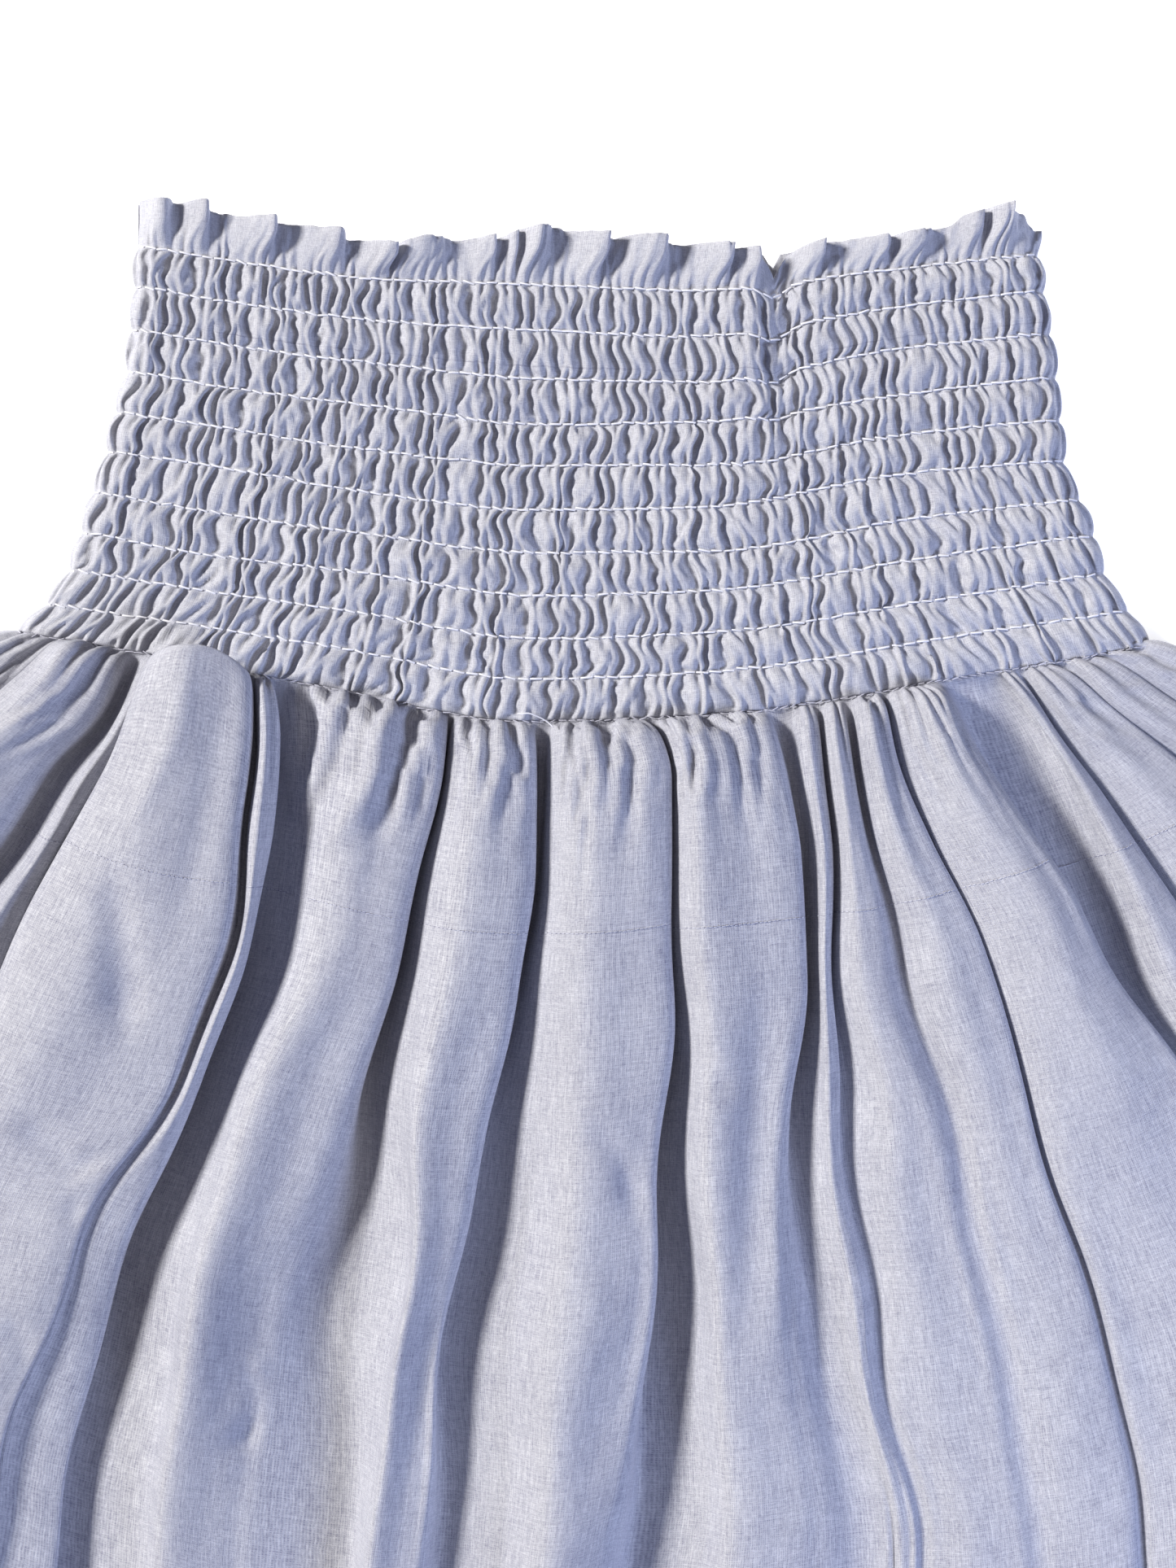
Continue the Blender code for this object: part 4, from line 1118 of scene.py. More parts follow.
@dataclass
class SkirtPattern:
    """The fold lines of the skirt's panels, worked out along the cloth from the seam."""

    length: int = 795
    least_fold: float = 0.9
    top_roll: float = 2.2
    shoulder_in: float = 1.5
    shoulder_fade: tuple = (6.0, 1.3)
    shoulder_rise: float = 4.0
    shoulder_at: float = 13.0
    crown_rise: tuple = (5.5, 1.1)
    floor_fall: tuple = (7.0, 1.0)
    fold_rise: tuple = (12.0, 1.4)
    further: tuple = (65, 140)
    wander: float = 0.7
    wander_length: float = 75
    wander_from: tuple = (25, 90)
    side_inset: float = 1.2
    side_height: float = 5.5
    side_low: float = 0.7
    side_run: float = 10
    crest_before: float = 0.1
    back_end: float = 0.94
    brow_share: float = 0.75
    seam_bed: float = 0.33
    band: BandPattern = field(default_factory=BandPattern)

    def seam_y(self, x: np.ndarray) -> np.ndarray:
        """Trace the joining seam.

        Args:
            x: Places along it.

        Returns:
            Its y at x.
        """
        seam = BAND_ROWS[-1]
        middle = (seam.left + seam.right) / 2
        return smooth(ROW_PLACES, seam.y, (np.asarray(x) - middle) / (seam.right - middle))

    def seam_height(self, x: np.ndarray) -> np.ndarray:
        """Return the height of the joining seam at x."""
        t = 1 - np.clip(SIDE_X[0] - np.abs(x), 0, self.band.side_reach) / self.band.side_reach
        return self.band.low + self.band.rise * np.sqrt(1 - t * t)

    def paths(self, x: np.ndarray) -> np.ndarray:
        """Lay lines down from the seam so that each keeps its length.

        Args:
            x: Lines by millimetres along the cloth.

        Returns:
            The y of the same points.
        """
        slope = np.diff(x, axis=1)
        advance = np.sqrt(np.clip(1 - slope * slope, 0.02, 1))
        run = np.concatenate([np.zeros((len(x), 1)), np.cumsum(advance, axis=1)], axis=1)
        distance = np.arange(x.shape[1])
        weight = (np.abs(x[:, :1]) / SIDE_X[0]) ** 8
        swell = distance / self.shoulder_at * np.exp(1 - distance / self.shoulder_at)
        start = self.seam_y(x[:, :1]) - 0.4
        return start - run + self.shoulder_rise * np.clip(weight, 0, 1.2) * swell

    def onset(self, distance: np.ndarray, run: float, sharp: float) -> np.ndarray:
        """Return a rise from 0 at the seam towards 1 over a run of cloth."""
        return 1 - np.exp(-(distance / run) ** sharp)

    def rising(self, x: np.ndarray, height: np.ndarray, rise: np.ndarray) -> np.ndarray:
        """Return heights that start from the seam's and reach their own as the rise says."""
        start = self.seam_height(x)
        return start + (height - start) * rise

    def fold_lines(self) -> tuple:
        """Lay out the front panel's fold lines for every millimetre of cloth.

        Returns:
            Lines by distances by 3, and for each line its pleat's number and whether it bounds
            a crown on its right.
        """
        distance = np.arange(self.length + 1, dtype=float)
        crown_rise = self.onset(distance, *self.crown_rise)
        floor_fall = self.onset(distance, *self.floor_fall)
        fold_rise = self.onset(distance, *self.fold_rise)
        run, sharp = self.shoulder_fade
        shoulder = self.shoulder_in * np.exp(-(distance / run) ** sharp)
        further = ease(distance, *self.further)
        side = smooth(STATIONS, SIDE_X, distance)
        low = self.side_low + (self.band.low - self.side_low) * np.exp(-distance / self.side_run)
        top = self.side_height + 0 * side
        flank = -side + self.side_inset
        lines = [FoldLine(-side, low, 0.0, 0, False),
                 FoldLine(flank, self.rising(flank, top, crown_rise), 0.0, 0, True)]
        for number, pleat in enumerate(PLEATS):
            last = number == len(PLEATS) - 1
            round_in = shoulder * (0.7 + 0.6 * ((7 * number) % 5) / 4)
            wander = 0 if last else self.wander * ripple(0 * distance + 5.3 * number,
                                                         distance / self.wander_length, 71, 8)
            edge = smooth(STATIONS, pleat.edge, distance) - round_in
            edge = edge + wander * ease(distance, *self.wander_from)
            gap = smooth(STATIONS, pleat.gap, distance) + 2 * round_in
            lift = smooth(HEIGHT_STATIONS, pleat.lift, distance)
            floor = smooth(HEIGHT_STATIONS, pleat.floor, distance)
            tuck = smooth(HEIGHT_STATIONS, pleat.tuck, distance)
            brow = edge - 0.5 * np.clip(self.least_fold - gap, 0, None)
            if last:
                brow = edge - self.side_inset
            width = brow - flank
            crown = pleat.crown[0] + (pleat.crown[1] - pleat.crown[0]) * further
            crest = flank + width * (crown - self.crest_before)
            back = flank + width * (crown + 0.5 * (self.back_end - crown))
            fall = pleat.back[0] + (pleat.back[1] - pleat.back[0]) * further
            for x, height in ((crest, lift), (back, floor + fall * (lift - floor))):
                height = self.rising(x, height, crown_rise)
                lines.append(FoldLine(x, height, pleat.puff, number, True))
            if last:
                inner = side - self.side_inset
                height = self.rising(inner, top, crown_rise)
                lines += [FoldLine(inner, height, 0.0, number, False),
                          FoldLine(side, low, 0.0, number, False)]
                break
            after = PLEATS[number + 1]
            next_lift = smooth(HEIGHT_STATIONS, after.lift, distance)
            soft = np.clip(-tuck / 10, 0, 1)
            brow_height = floor + (lift - floor) * (self.brow_share - 0.1 * soft) * fall
            start = after.flank[0] + (after.flank[1] - after.flank[0]) * further
            flank_height = floor + (next_lift - floor) * start
            fold = np.maximum(gap, self.least_fold)
            flank = brow + fold
            bed = np.maximum(self.least_fold, 0.25 * fold)
            at_seam = (1 - fold_rise) * fold * self.seam_bed
            bed_start = brow + fold_rise * -tuck + at_seam
            bed_end = bed_start + fold_rise * bed + at_seam
            height = self.rising(brow, brow_height, crown_rise)
            lines.append(FoldLine(brow, height, 0.6 * pleat.puff, number, False))
            for x in (bed_start, bed_end):
                height = self.rising(x, floor, floor_fall)
                lines.append(FoldLine(x, height, 0.0, number, False))
            height = self.rising(flank, flank_height, crown_rise)
            lines.append(FoldLine(flank, height, 0.6 * after.puff, number + 1, True))
        x = np.array([line.x for line in lines])
        z = np.array([line.z for line in lines])
        puff = np.array([[line.puff] for line in lines])
        swell = np.exp(-((distance - 18) / 13) ** 2) * (1 - np.exp(-distance / 5))
        top = np.exp(-((distance - 7) / 7) ** 2) * (1 - np.exp(-distance / 2.5))
        y = self.paths(x) + puff * swell + self.top_roll * (puff > 0) * top
        marks = [(line.pleat, line.crown) for line in lines]
        return np.stack([x, y, z], axis=-1), marks


def through(points: np.ndarray, counts: list) -> np.ndarray:
    """Fill the gaps between lines with more lines on smooth curves across them.

    Args:
        points: Lines by distances by 3.
        counts: How many steps each gap is cut into.

    Returns:
        More lines by distances by 3.
    """
    reach = np.sqrt(np.maximum(np.linalg.norm(np.diff(points, axis=0), axis=2), 1e-3))
    place = np.concatenate([np.zeros((1, reach.shape[1])), np.cumsum(reach, axis=0)])
    slope = np.diff(points, axis=0) / reach[..., None]
    weight = (reach[1:] / (reach[1:] + reach[:-1]))[..., None]
    inner = slope[:-1] * weight + slope[1:] * (1 - weight)
    tangent = np.concatenate([slope[:1], inner, slope[-1:]])
    filled = []
    for number, count in enumerate(counts):
        run = (place[number + 1] - place[number])[:, None]
        for t in np.arange(count) / count:
            filled.append(hermite(points[number], tangent[number] * run, points[number + 1],
                                  tangent[number + 1] * run, t))
    filled.append(points[-1])
    return np.array(filled)


def crease_share(points: np.ndarray, crease: Crease) -> np.ndarray:
    """Work out how strongly a crease works at points seen in plan.

    Args:
        points: The points, with x and y first on the last axis.
        crease: The crease.

    Returns:
        Its share at each point, from 0 to 1.
    """
    line = np.array(crease.points)
    lengths = np.linalg.norm(np.diff(line, axis=0), axis=1)
    total = lengths.sum()
    best = np.zeros(points.shape[:-1])
    done = 0.0
    for start, end, length in zip(line[:-1], line[1:], lengths):
        way = (end - start) / length
        off = points[..., :2] - start
        t = np.clip((off @ way) / length, 0, 1)
        gap = np.linalg.norm(off - t[..., None] * (end - start), axis=-1)
        place = (done + t * length) / total
        taper = np.clip(np.minimum(place, 1 - place) * 4 + 0.35, 0, 1)
        width = crease.width * (0.7 + 0.3 * taper)
        best = np.maximum(best, taper * np.exp(-(gap / width) ** 2))
        done += length
    return best


# The four sewn pieces


@dataclass
class FrontBand:
    """The smocked front of the waist band with its header."""

    finish: bpy.types.Material
    pattern: BandPattern = field(default_factory=BandPattern)
    cloth: GatheredCloth = field(default_factory=GatheredCloth)
    hem_turn: float = 0.75
    seam_turn: tuple = ((0.0, -0.1, -1.2), (0.0, 1.6, -2.2))
    fullness: float = 1.5
    lean_grow: float = 0.7
    flute_rise: float = 0.28
    flute_middle: float = 2.4
    stand_off: float = 0.25
    side_reach: float = 0.45
    soft_reach: int = 9
    surface: dict = field(default_factory=dict)

    def build(self) -> bpy.types.Object:
        """Build the band as one sheet folded in at the header's top and turned in at the seam.

        Returns:
            The sheet.
        """
        cloth = self.cloth
        outer = np.zeros_like(cloth.points)
        flat_y = cloth.heights()
        for number, level in enumerate(cloth.levels):
            own = cloth.points[number]
            parts = np.clip(own[:, 0] / cloth.widths[number] + 0.5, 0, 1)
            middle, normal = self.pattern.section(level, parts)
            middle[:, 1] += own[:, 1] - flat_y[number]
            if level < 0:
                grow = float(ease(np.array(-level), 0.0, self.lean_grow)) * np.clip(
                    np.minimum(parts, 1 - parts) * 14, 0, 1)
                middle[:, 0] += cloth.flute_lean * grow * own[:, 2]
                middle[:, 1] += self.flute_rise * grow * (own[:, 2] - self.flute_middle)
            reach = normal * (own[:, 2] + self.stand_off)[:, None]
            reach[:, 0] *= self.side_reach
            outer[number] = middle + reach
            self.surface[round(float(level), 4)] = outer[number]
        head = cloth.header_steps
        inner = outer[[head - 1, head - 3, head - 6, 4, 2, 1]] - np.array([0.0, 0.0, self.hem_turn])
        fold = outer[:1] + np.array([0.0, 0.3, -0.5 * self.hem_turn])
        seam = outer[-1]
        turned = np.array([seam + np.array(step) for step in self.seam_turn])
        grid = np.concatenate([inner, fold, outer, turned])
        grid[..., 2] = np.maximum(grid[..., 2], FLOOR_GAP)
        columns = grid.shape[1]
        across = np.linspace(-0.5, 0.5, columns) * BAND_CLOTH * self.fullness
        uv = cloth_uv(across, run_along(grid[:, columns // 2]))
        return lay_grid("smocked_band_front", grid, uv, self.finish, Face.UP)

    def row_path(self, level: float, lift: float) -> np.ndarray:
        """Return a thread's path over the band at a level, riding over the puckers.

        Args:
            level: The stitched row's level.
            lift: How far the thread stands off the cloth.

        Returns:
            Points by 3.
        """
        row = self.surface[round(level, 4)]
        count = self.soft_reach
        half = count // 2
        window = np.ones(count) / count
        padded = np.pad(row[:, 2], half, mode="edge")
        top = np.array([padded[n:n + count].max() for n in range(len(row))])
        soft = np.convolve(np.pad(top, half, mode="edge"), window, "valid")
        path = row.copy()
        path[:, 2] = np.maximum(0.35 * top + 0.65 * soft, row[:, 2] + 0.05) + lift
        path[:, 0] = np.convolve(np.pad(row[:, 0], half, mode="reflect", reflect_type="odd"),
                                 window, "valid")
        return path


@dataclass
class BackBand:
    """The smocked back of the waist band, lying on the floor."""

    finish: bpy.types.Material
    pattern: BandPattern = field(default_factory=BandPattern)
    smocking: Smocking = field(default_factory=Smocking)
    steps: int = 6
    flutes: int = 14
    flute_height: float = 3.4
    header_low: float = 0.4
    header_lower: float = 0.6
    base: float = 0.3
    swell: float = 0.95
    swell_reach: float = 1.25
    side_fade: float = 3.0
    fullness: float = 1.4
    surface: dict = field(default_factory=dict)

    def line(self, level: float) -> np.ndarray:
        """Lay out one level, whose puckers swell up off the floor.

        Args:
            level: The level down the band.

        Returns:
            Its points by 3.
        """
        parts, height = self.smocking.row(max(level, 0.0))
        left, right, _ = self.pattern.line(level, np.zeros(1))
        x = left + (right - left) * parts
        _, _, y = self.pattern.line(level, 2 * parts - 1)
        crest = self.swell_reach * self.smocking.crest
        z = self.base + self.swell * np.maximum(crest - height, 0.0)
        if level < 0:
            top = np.interp(x, self.pattern.header_x, self.pattern.header_y) - self.header_lower
            y = y + np.maximum(top - y, self.pattern.least_header) * -level
            up = -level * self.pattern.header_depth
            ends = np.clip(np.minimum(parts, 1 - parts) / 0.05, 0, 1)
            wave = 0.5 - 0.5 * np.cos(2 * math.pi * self.flutes * parts
                                      + 0.6 * np.sin(15 * parts))
            fade = math.exp(-up / 4)
            high = self.flute_height * (-level) ** 0.8 * ends * wave
            z = z * fade + (1 - fade) * self.header_low + high
        side = np.clip(np.minimum(x - left, right - x) / self.side_fade, 0, 1)
        z = z * side + (1 - side) * (self.pattern.low + 0.2)
        return np.stack([x, y, z], axis=1)

    def build(self) -> bpy.types.Object:
        """Build the back band as one sheet with its header folded in.

        Returns:
            The sheet.
        """
        down = [step / self.steps for step in range(SEAM_LEVEL * self.steps + 1)]
        up = [-1 + step / 7 for step in range(7)]
        outer = [self.line(level) for level in up + down]
        for level, row in zip(up + down, outer):
            self.surface[round(level, 4)] = row
        inner = [self.line(level) + np.array([0.0, 0.0, 0.6]) for level in (-0.1, -0.5, -0.9)]
        fold = outer[0] + np.array([0.0, 0.25, 0.3])
        grid = np.array(inner + [fold] + outer)
        columns = grid.shape[1]
        across = np.linspace(-0.5, 0.5, columns) * BAND_CLOTH * self.fullness
        uv = cloth_uv(across, run_along(grid[:, columns // 2]))
        return lay_grid("smocked_band_back", grid, uv, self.finish, Face.DOWN)


@dataclass
class SettledPanel:
    """Lets a panel's cloth, a little longer than its given folds, buckle into wrinkles."""

    rounds: int = 70
    slack: float = 0.02
    seam_slack: float = 0.36
    seam_reach: float = 24.0
    hold: float = 0.012
    end_reach: float = 40.0
    least_height: float = 0.9
    seed: int = 61

    def settle(self, points: np.ndarray, form: np.ndarray, distance: np.ndarray,
               across: np.ndarray, share: np.ndarray) -> None:
        """Settle the rows from the seam down, in place.

        Args:
            points: Columns by rows by 3, with the first wrinkles pressed in.
            form: The same points without them, whose lengths the cloth is measured on.
            distance: Millimetres along the cloth of each row.
            across: Place across the cloth of each column.
            share: How freely each column may wrinkle, from 0 to 1.
        """
        d = distance[None, :]
        free = 0.5 * (share[1:] + share[:-1])[:, None]
        full = self.slack + self.seam_slack * np.exp(-(d / self.seam_reach) ** 1.2)
        side = np.linalg.norm(np.diff(form, axis=0), axis=2) * (1 + full * free)
        down = np.linalg.norm(np.diff(form, axis=1), axis=2) * (1 + 0.4 * self.slack)
        slant = np.hypot(0.5 * (side[:, 1:] + side[:, :-1]), 0.5 * (down[1:] + down[:-1]))
        two_side = 0.95 * (side[1:] + side[:-1])
        two_down = 0.97 * (down[:, 1:] + down[:, :-1])
        four_side = 0.94 * np.linalg.norm(form[4:] - form[:-4], axis=2)
        u = across[:, None]
        start = (0.55 * ripple(u / 17, d / 70, self.seed, 16)
                 + 0.22 * ripple(u / 9, d / 22, self.seed + 1, 16)
                 + 0.75 * ripple(u / 34, d / 80, self.seed + 2, 12))
        points[..., 2] += share[:, None] * start * ease(d, 1, 30)
        hold = self.hold + 0.5 * ease(d, distance[-1] - self.end_reach, distance[-1]) + 0 * u
        hold = (hold + 0.3 * (1 - share[:, None]))[..., None]
        calm = (0.04 + 0.11 * ease(d, 12, 60))[..., 1:-1, None]
        bonds = (Bond(1, 0, side, stiff=0.8), Bond(0, 1, down, stiff=0.8),
                 Bond(1, 1, slant, stiff=0.2), Bond(1, -1, slant, stiff=0.2),
                 Bond(2, 0, two_side, stiff=0.35, push_only=True),
                 Bond(0, 2, two_down, stiff=0.35, push_only=True),
                 Bond(4, 0, four_side, stiff=0.3, push_only=True))
        for _ in range(self.rounds):
            for bond in bonds:
                bond.pull(points)
            moved = points - form
            mean = 0.25 * (moved[:-2, 1:-1] + moved[2:, 1:-1] + moved[1:-1, :-2] + moved[1:-1, 2:])
            moved[1:-1, 1:-1] += calm * (mean - moved[1:-1, 1:-1])
            points[:] = form + (1 - hold) * moved
            points[:, 0] = form[:, 0]
            np.clip(points[..., 2], self.least_height, None, out=points[..., 2])


@dataclass
class FrontSkirt:
    """The gathered front panel with its deep pleats, creases and turned hem."""

    finish: bpy.types.Material
    pattern: SkirtPattern = field(default_factory=SkirtPattern)
    column_step: float = 1.75
    coarse_step: float = 1.6
    fine_within: float = 190.0
    most_columns: int = 22
    measured_at: tuple = (60, 180, 400)
    middle_at: int = 120
    laid_out_at: int = 150
    settled_length: int = 271
    wave: float = 1.1
    wave_lengths: tuple = (50.0, 170.0)
    big_puff: float = 10.0
    big_puff_share: float = 0.35
    gather_seed: int = 35
    gather_depth: float = 5.0
    gather_shares: tuple = (0.3, 1.0)
    gather_length: float = 62.0
    gather_reach: tuple = (9, 20)
    gather_lean: float = 0.16
    gather_widths: tuple = (3.2, 5.2)
    gather_steps: tuple = (11, 23)
    seam_turn: tuple = ((3.0, -2.4), (1.2, -1.2))
    hem_fold: tuple = (-0.25, -0.3)
    hem_gap: float = 0.6
    hem_rows: tuple = (-1, -2, -3, -4, -5)
    rows: list = field(default_factory=list)
    points: np.ndarray = field(default_factory=lambda: np.zeros(0))
    across: np.ndarray = field(default_factory=lambda: np.zeros(0))

    def distances(self) -> list:
        """Return the rows of the mesh as millimetres along the cloth, closest at its ends."""
        return [*range(0, 30), *range(30, 60, 2), *range(60, self.settled_length, 3),
                *range(280, 770, 12), 773, 775, 777, 782, 788, 795]

    def columns(self, lines: np.ndarray, marks: list) -> list:
        """Choose how many steps each gap between fold lines gets.

        Args:
            lines: The fold lines.
            marks: For each, its pleat's number and whether a crown lies on its right.

        Returns:
            The steps of each gap.
        """
        counts = []
        span = np.linalg.norm(np.diff(lines[:, self.measured_at], axis=0), axis=2).max(axis=1)
        middle = np.abs(lines[:-1, self.middle_at, 0] + lines[1:, self.middle_at, 0]) / 2
        for length, place, (_, crown) in zip(span, middle, marks[:-1]):
            coarse = 1.0 if place < self.fine_within else self.coarse_step
            least = 3 if crown else 2
            steps = round(length / (coarse * self.column_step))
            counts.append(int(np.clip(steps, least, self.most_columns)))
        return counts

    def soften(self, points: np.ndarray, share: np.ndarray, pleat: np.ndarray,
               distance: np.ndarray) -> None:
        """Add the creases, seam gathers and wrinkles to the panel in place.

        Args:
            points: Columns by rows by 3.
            share: Place of each column across its crown, -1 off a crown.
            pleat: The pleat of each column.
            distance: Millimetres along the cloth of each row.
        """
        u = self.across[:, None]
        d = distance[None, :]
        inside = np.where(share >= 0, ease(share, 0.0, 0.16) * ease(1 - share, 0.0, 0.13), 0.0)
        mask = inside[:, None]
        height = points[..., 2]
        wide, long = self.wave_lengths
        height += mask * (self.wave * ripple(u / wide, d / long, 31) * ease(d, 60, 180))
        for crease in CREASES:
            number = [pleat.name for pleat in PLEATS].index(crease.pleat)
            own = np.flatnonzero(pleat == number)
            cut = crease_share(points[own], crease) * crease.depth
            height[own] += mask[own] * cut
        near = int(np.searchsorted(distance, self.settled_length))
        form = points[:, :near].copy()
        free = np.where(share >= 0, 0.25 + 0.75 * inside, 0.0)
        big = np.array([item.puff for item in PLEATS])[pleat] > self.big_puff
        free *= np.where(big, self.big_puff_share, 1.0)
        self.gather(height, distance, free)
        SettledPanel().settle(points[:, :near], form, distance[:near], self.across, free)

    def gather(self, height: np.ndarray, distance: np.ndarray, share: np.ndarray) -> None:
        """Press the small gathers that run down from the seam into the heights.

        Args:
            height: Columns by rows, changed in place.
            distance: Millimetres along the cloth of each row.
            share: How strongly each column takes part.
        """
        rng = np.random.default_rng(self.gather_seed)
        near = int(np.searchsorted(distance, self.gather_length))
        d = distance[None, :near]
        place = self.across[0] + 4
        while place < self.across[-1]:
            depth = rng.uniform(*self.gather_shares) * self.gather_depth
            reach = rng.uniform(*self.gather_reach) + 22 * rng.random() ** 3
            drift = rng.normal(0, self.gather_lean)
            wide = rng.uniform(*self.gather_widths) + 0.06 * d
            off = (self.across[:, None] - place - drift * d) / wide
            fall = np.exp(-(d / reach) ** 1.6) * (1 - 0.6 * np.exp(-d / 1.2))
            height[:, :near] -= share[:, None] * depth * np.exp(-off * off) * fall
            place += rng.uniform(*self.gather_steps)

    def build(self) -> bpy.types.Object:
        """Build the panel as one sheet with its hem turned under.

        Returns:
            The sheet.
        """
        lines, marks = self.pattern.fold_lines()
        counts = self.columns(lines, marks)
        self.rows = self.distances()
        dense = through(lines[:, self.rows], counts)
        pleat = np.repeat([mark[0] for mark in marks[:-1]], counts)
        pleat = np.append(pleat, len(PLEATS) - 1)
        crown = np.append(np.repeat([mark[1] for mark in marks[:-1]], counts), False)
        self.across = run_along(dense[:, self.rows.index(self.laid_out_at)])
        self.across -= self.across[-1] / 2
        share = np.full(len(dense), -1.0)
        for number in range(len(PLEATS)):
            own = np.flatnonzero((pleat == number) & crown)
            if len(own) > 1:
                end = min(own[-1] + 1, len(dense) - 1)
                place = self.across[own] - self.across[own[0]]
                share[own] = place / (self.across[end] - self.across[own[0]])
        distance = np.array(self.rows, dtype=float)
        self.soften(dense, share, pleat, distance)
        self.points = dense
        inside = [dense[:, 0] + np.array([0.0, *step]) for step in self.seam_turn]
        turned = [dense[:, -1] + np.array([0.0, *self.hem_fold])]
        turned += [dense[:, back] - np.array([0.0, 0.0, self.hem_gap]) for back in self.hem_rows]
        grid = np.concatenate([np.array(inside), dense.transpose(1, 0, 2), np.array(turned)])
        grid[..., 2] = np.maximum(grid[..., 2], FLOOR_GAP)
        tail = [2 * distance[-1] - distance[back] for back in self.hem_rows]
        down = np.concatenate([[-3.0, -1.2], distance, [distance[-1] + 0.4], tail])
        uv = cloth_uv(self.across, down)
        return lay_grid("skirt_panel_front", grid, uv, self.finish, Face.UP)

    def path_along(self, distance: float) -> np.ndarray:
        """Trace the panel from side to side.

        Args:
            distance: Millimetres along the cloth from the seam.

        Returns:
            Points by 3.
        """
        at = int(np.searchsorted(self.rows, distance))
        at = min(max(at, 1), len(self.rows) - 1)
        t = (distance - self.rows[at - 1]) / (self.rows[at] - self.rows[at - 1])
        return self.points[:, at - 1] * (1 - t) + self.points[:, at] * t


@dataclass
class BackSkirt:
    """The back panel, flat on the floor with tucks that stand under the front's pleats."""

    finish: bpy.types.Material
    pattern: SkirtPattern = field(default_factory=SkirtPattern)
    tuck_height: float = 4.4
    tuck_half: float = 4.4
    tuck_shape: tuple = ((-1.0, 0.0), (-0.62, 0.35), (-0.35, 0.92), (0.35, 0.92), (0.62, 0.35),
                         (1.0, 0.0))
    base: float = 0.35
    side_inset: float = 1.4
    side_rise: float = 0.5
    column_step: float = 5.5
    most_columns: int = 9
    measured_at: int = 400
    laid_out_at: int = 204
    least_height: float = 0.12
    wave: float = 0.35
    wave_lengths: tuple = (40, 130)
    flat_side: float = 0.97
    hem_fold: tuple = (-0.2, 0.25)
    hem_gap: float = 0.5
    hem_rows: tuple = (-1, -2, -3)

    def lines(self) -> np.ndarray:
        """Lay out the panel's fold lines for every millimetre of cloth.

        Returns:
            Lines by distances by 3.
        """
        distance = np.arange(self.pattern.length + 1, dtype=float)
        side = smooth(STATIONS, SIDE_X, distance)
        height = self.tuck_height * (1 - np.exp(-distance / 30))
        height = height * (1 - 0.25 * distance / self.pattern.length)
        foot = self.tuck_half * (0.4 + 0.6 * (1 - np.exp(-distance / 12)))
        flat = self.base + 0 * side
        columns = [(-side, flat + self.side_rise), (-side + self.side_inset, flat)]
        flank = -side
        for pleat in PLEATS[:-1]:
            edge = smooth(STATIONS, pleat.edge, distance)
            if pleat.name in BACK_TUCKS:
                middle = 0.5 * (flank + edge)
                columns.append(((columns[-1][0] + middle - foot) / 2, flat))
                columns += [(middle + place * foot, flat + high * height)
                            for place, high in self.tuck_shape]
            gap = smooth(STATIONS, pleat.gap, distance)
            flank = edge + np.maximum(gap, self.pattern.least_fold)
        columns += [((columns[-1][0] + side) / 2, flat), (side - self.side_inset, flat),
                    (side, flat + self.side_rise)]
        x = np.array([column[0] for column in columns])
        z = np.array([column[1] for column in columns])
        return np.stack([x, self.pattern.paths(x), z], axis=-1)

    def build(self) -> bpy.types.Object:
        """Build the panel as one sheet with its hem turned in.

        Returns:
            The sheet.
        """
        lines = self.lines()
        rows = [*range(0, 60, 4), *range(60, 771, 9), 775, 782, 795]
        span = np.linalg.norm(np.diff(lines[:, self.measured_at], axis=0), axis=1)
        counts = [int(np.clip(round(length / self.column_step), 1, self.most_columns))
                  for length in span]
        dense = through(lines[:, rows], counts)
        across = run_along(dense[:, rows.index(self.laid_out_at)])
        across -= across[-1] / 2
        down = np.array(rows, dtype=float)
        wide, long = self.wave_lengths
        soft = ripple(across[:, None] / wide, down[None, :] / long, 51) * 0.5 + 0.5
        dense[..., 2] = np.maximum(dense[..., 2], self.least_height)
        x = np.abs(dense[..., 0])
        inner = x < self.flat_side * x[[0, -1]].max(axis=0)
        dense[..., 2] += self.wave * np.clip(soft, 0, 1.2) * inner * ease(down[None, :], 4, 60)
        turned = [dense[:, -1] + np.array([0.0, *self.hem_fold])]
        turned += [dense[:, back] + np.array([0.0, 0.0, self.hem_gap]) for back in self.hem_rows]
        grid = np.concatenate([dense.transpose(1, 0, 2), np.array(turned)])
        tail = [2 * down[-1] - down[back] for back in self.hem_rows]
        uv = cloth_uv(across, np.concatenate([down, [down[-1] + 0.3], tail]))
        return lay_grid("skirt_panel_back", grid, uv, self.finish, Face.DOWN)


# Sewing


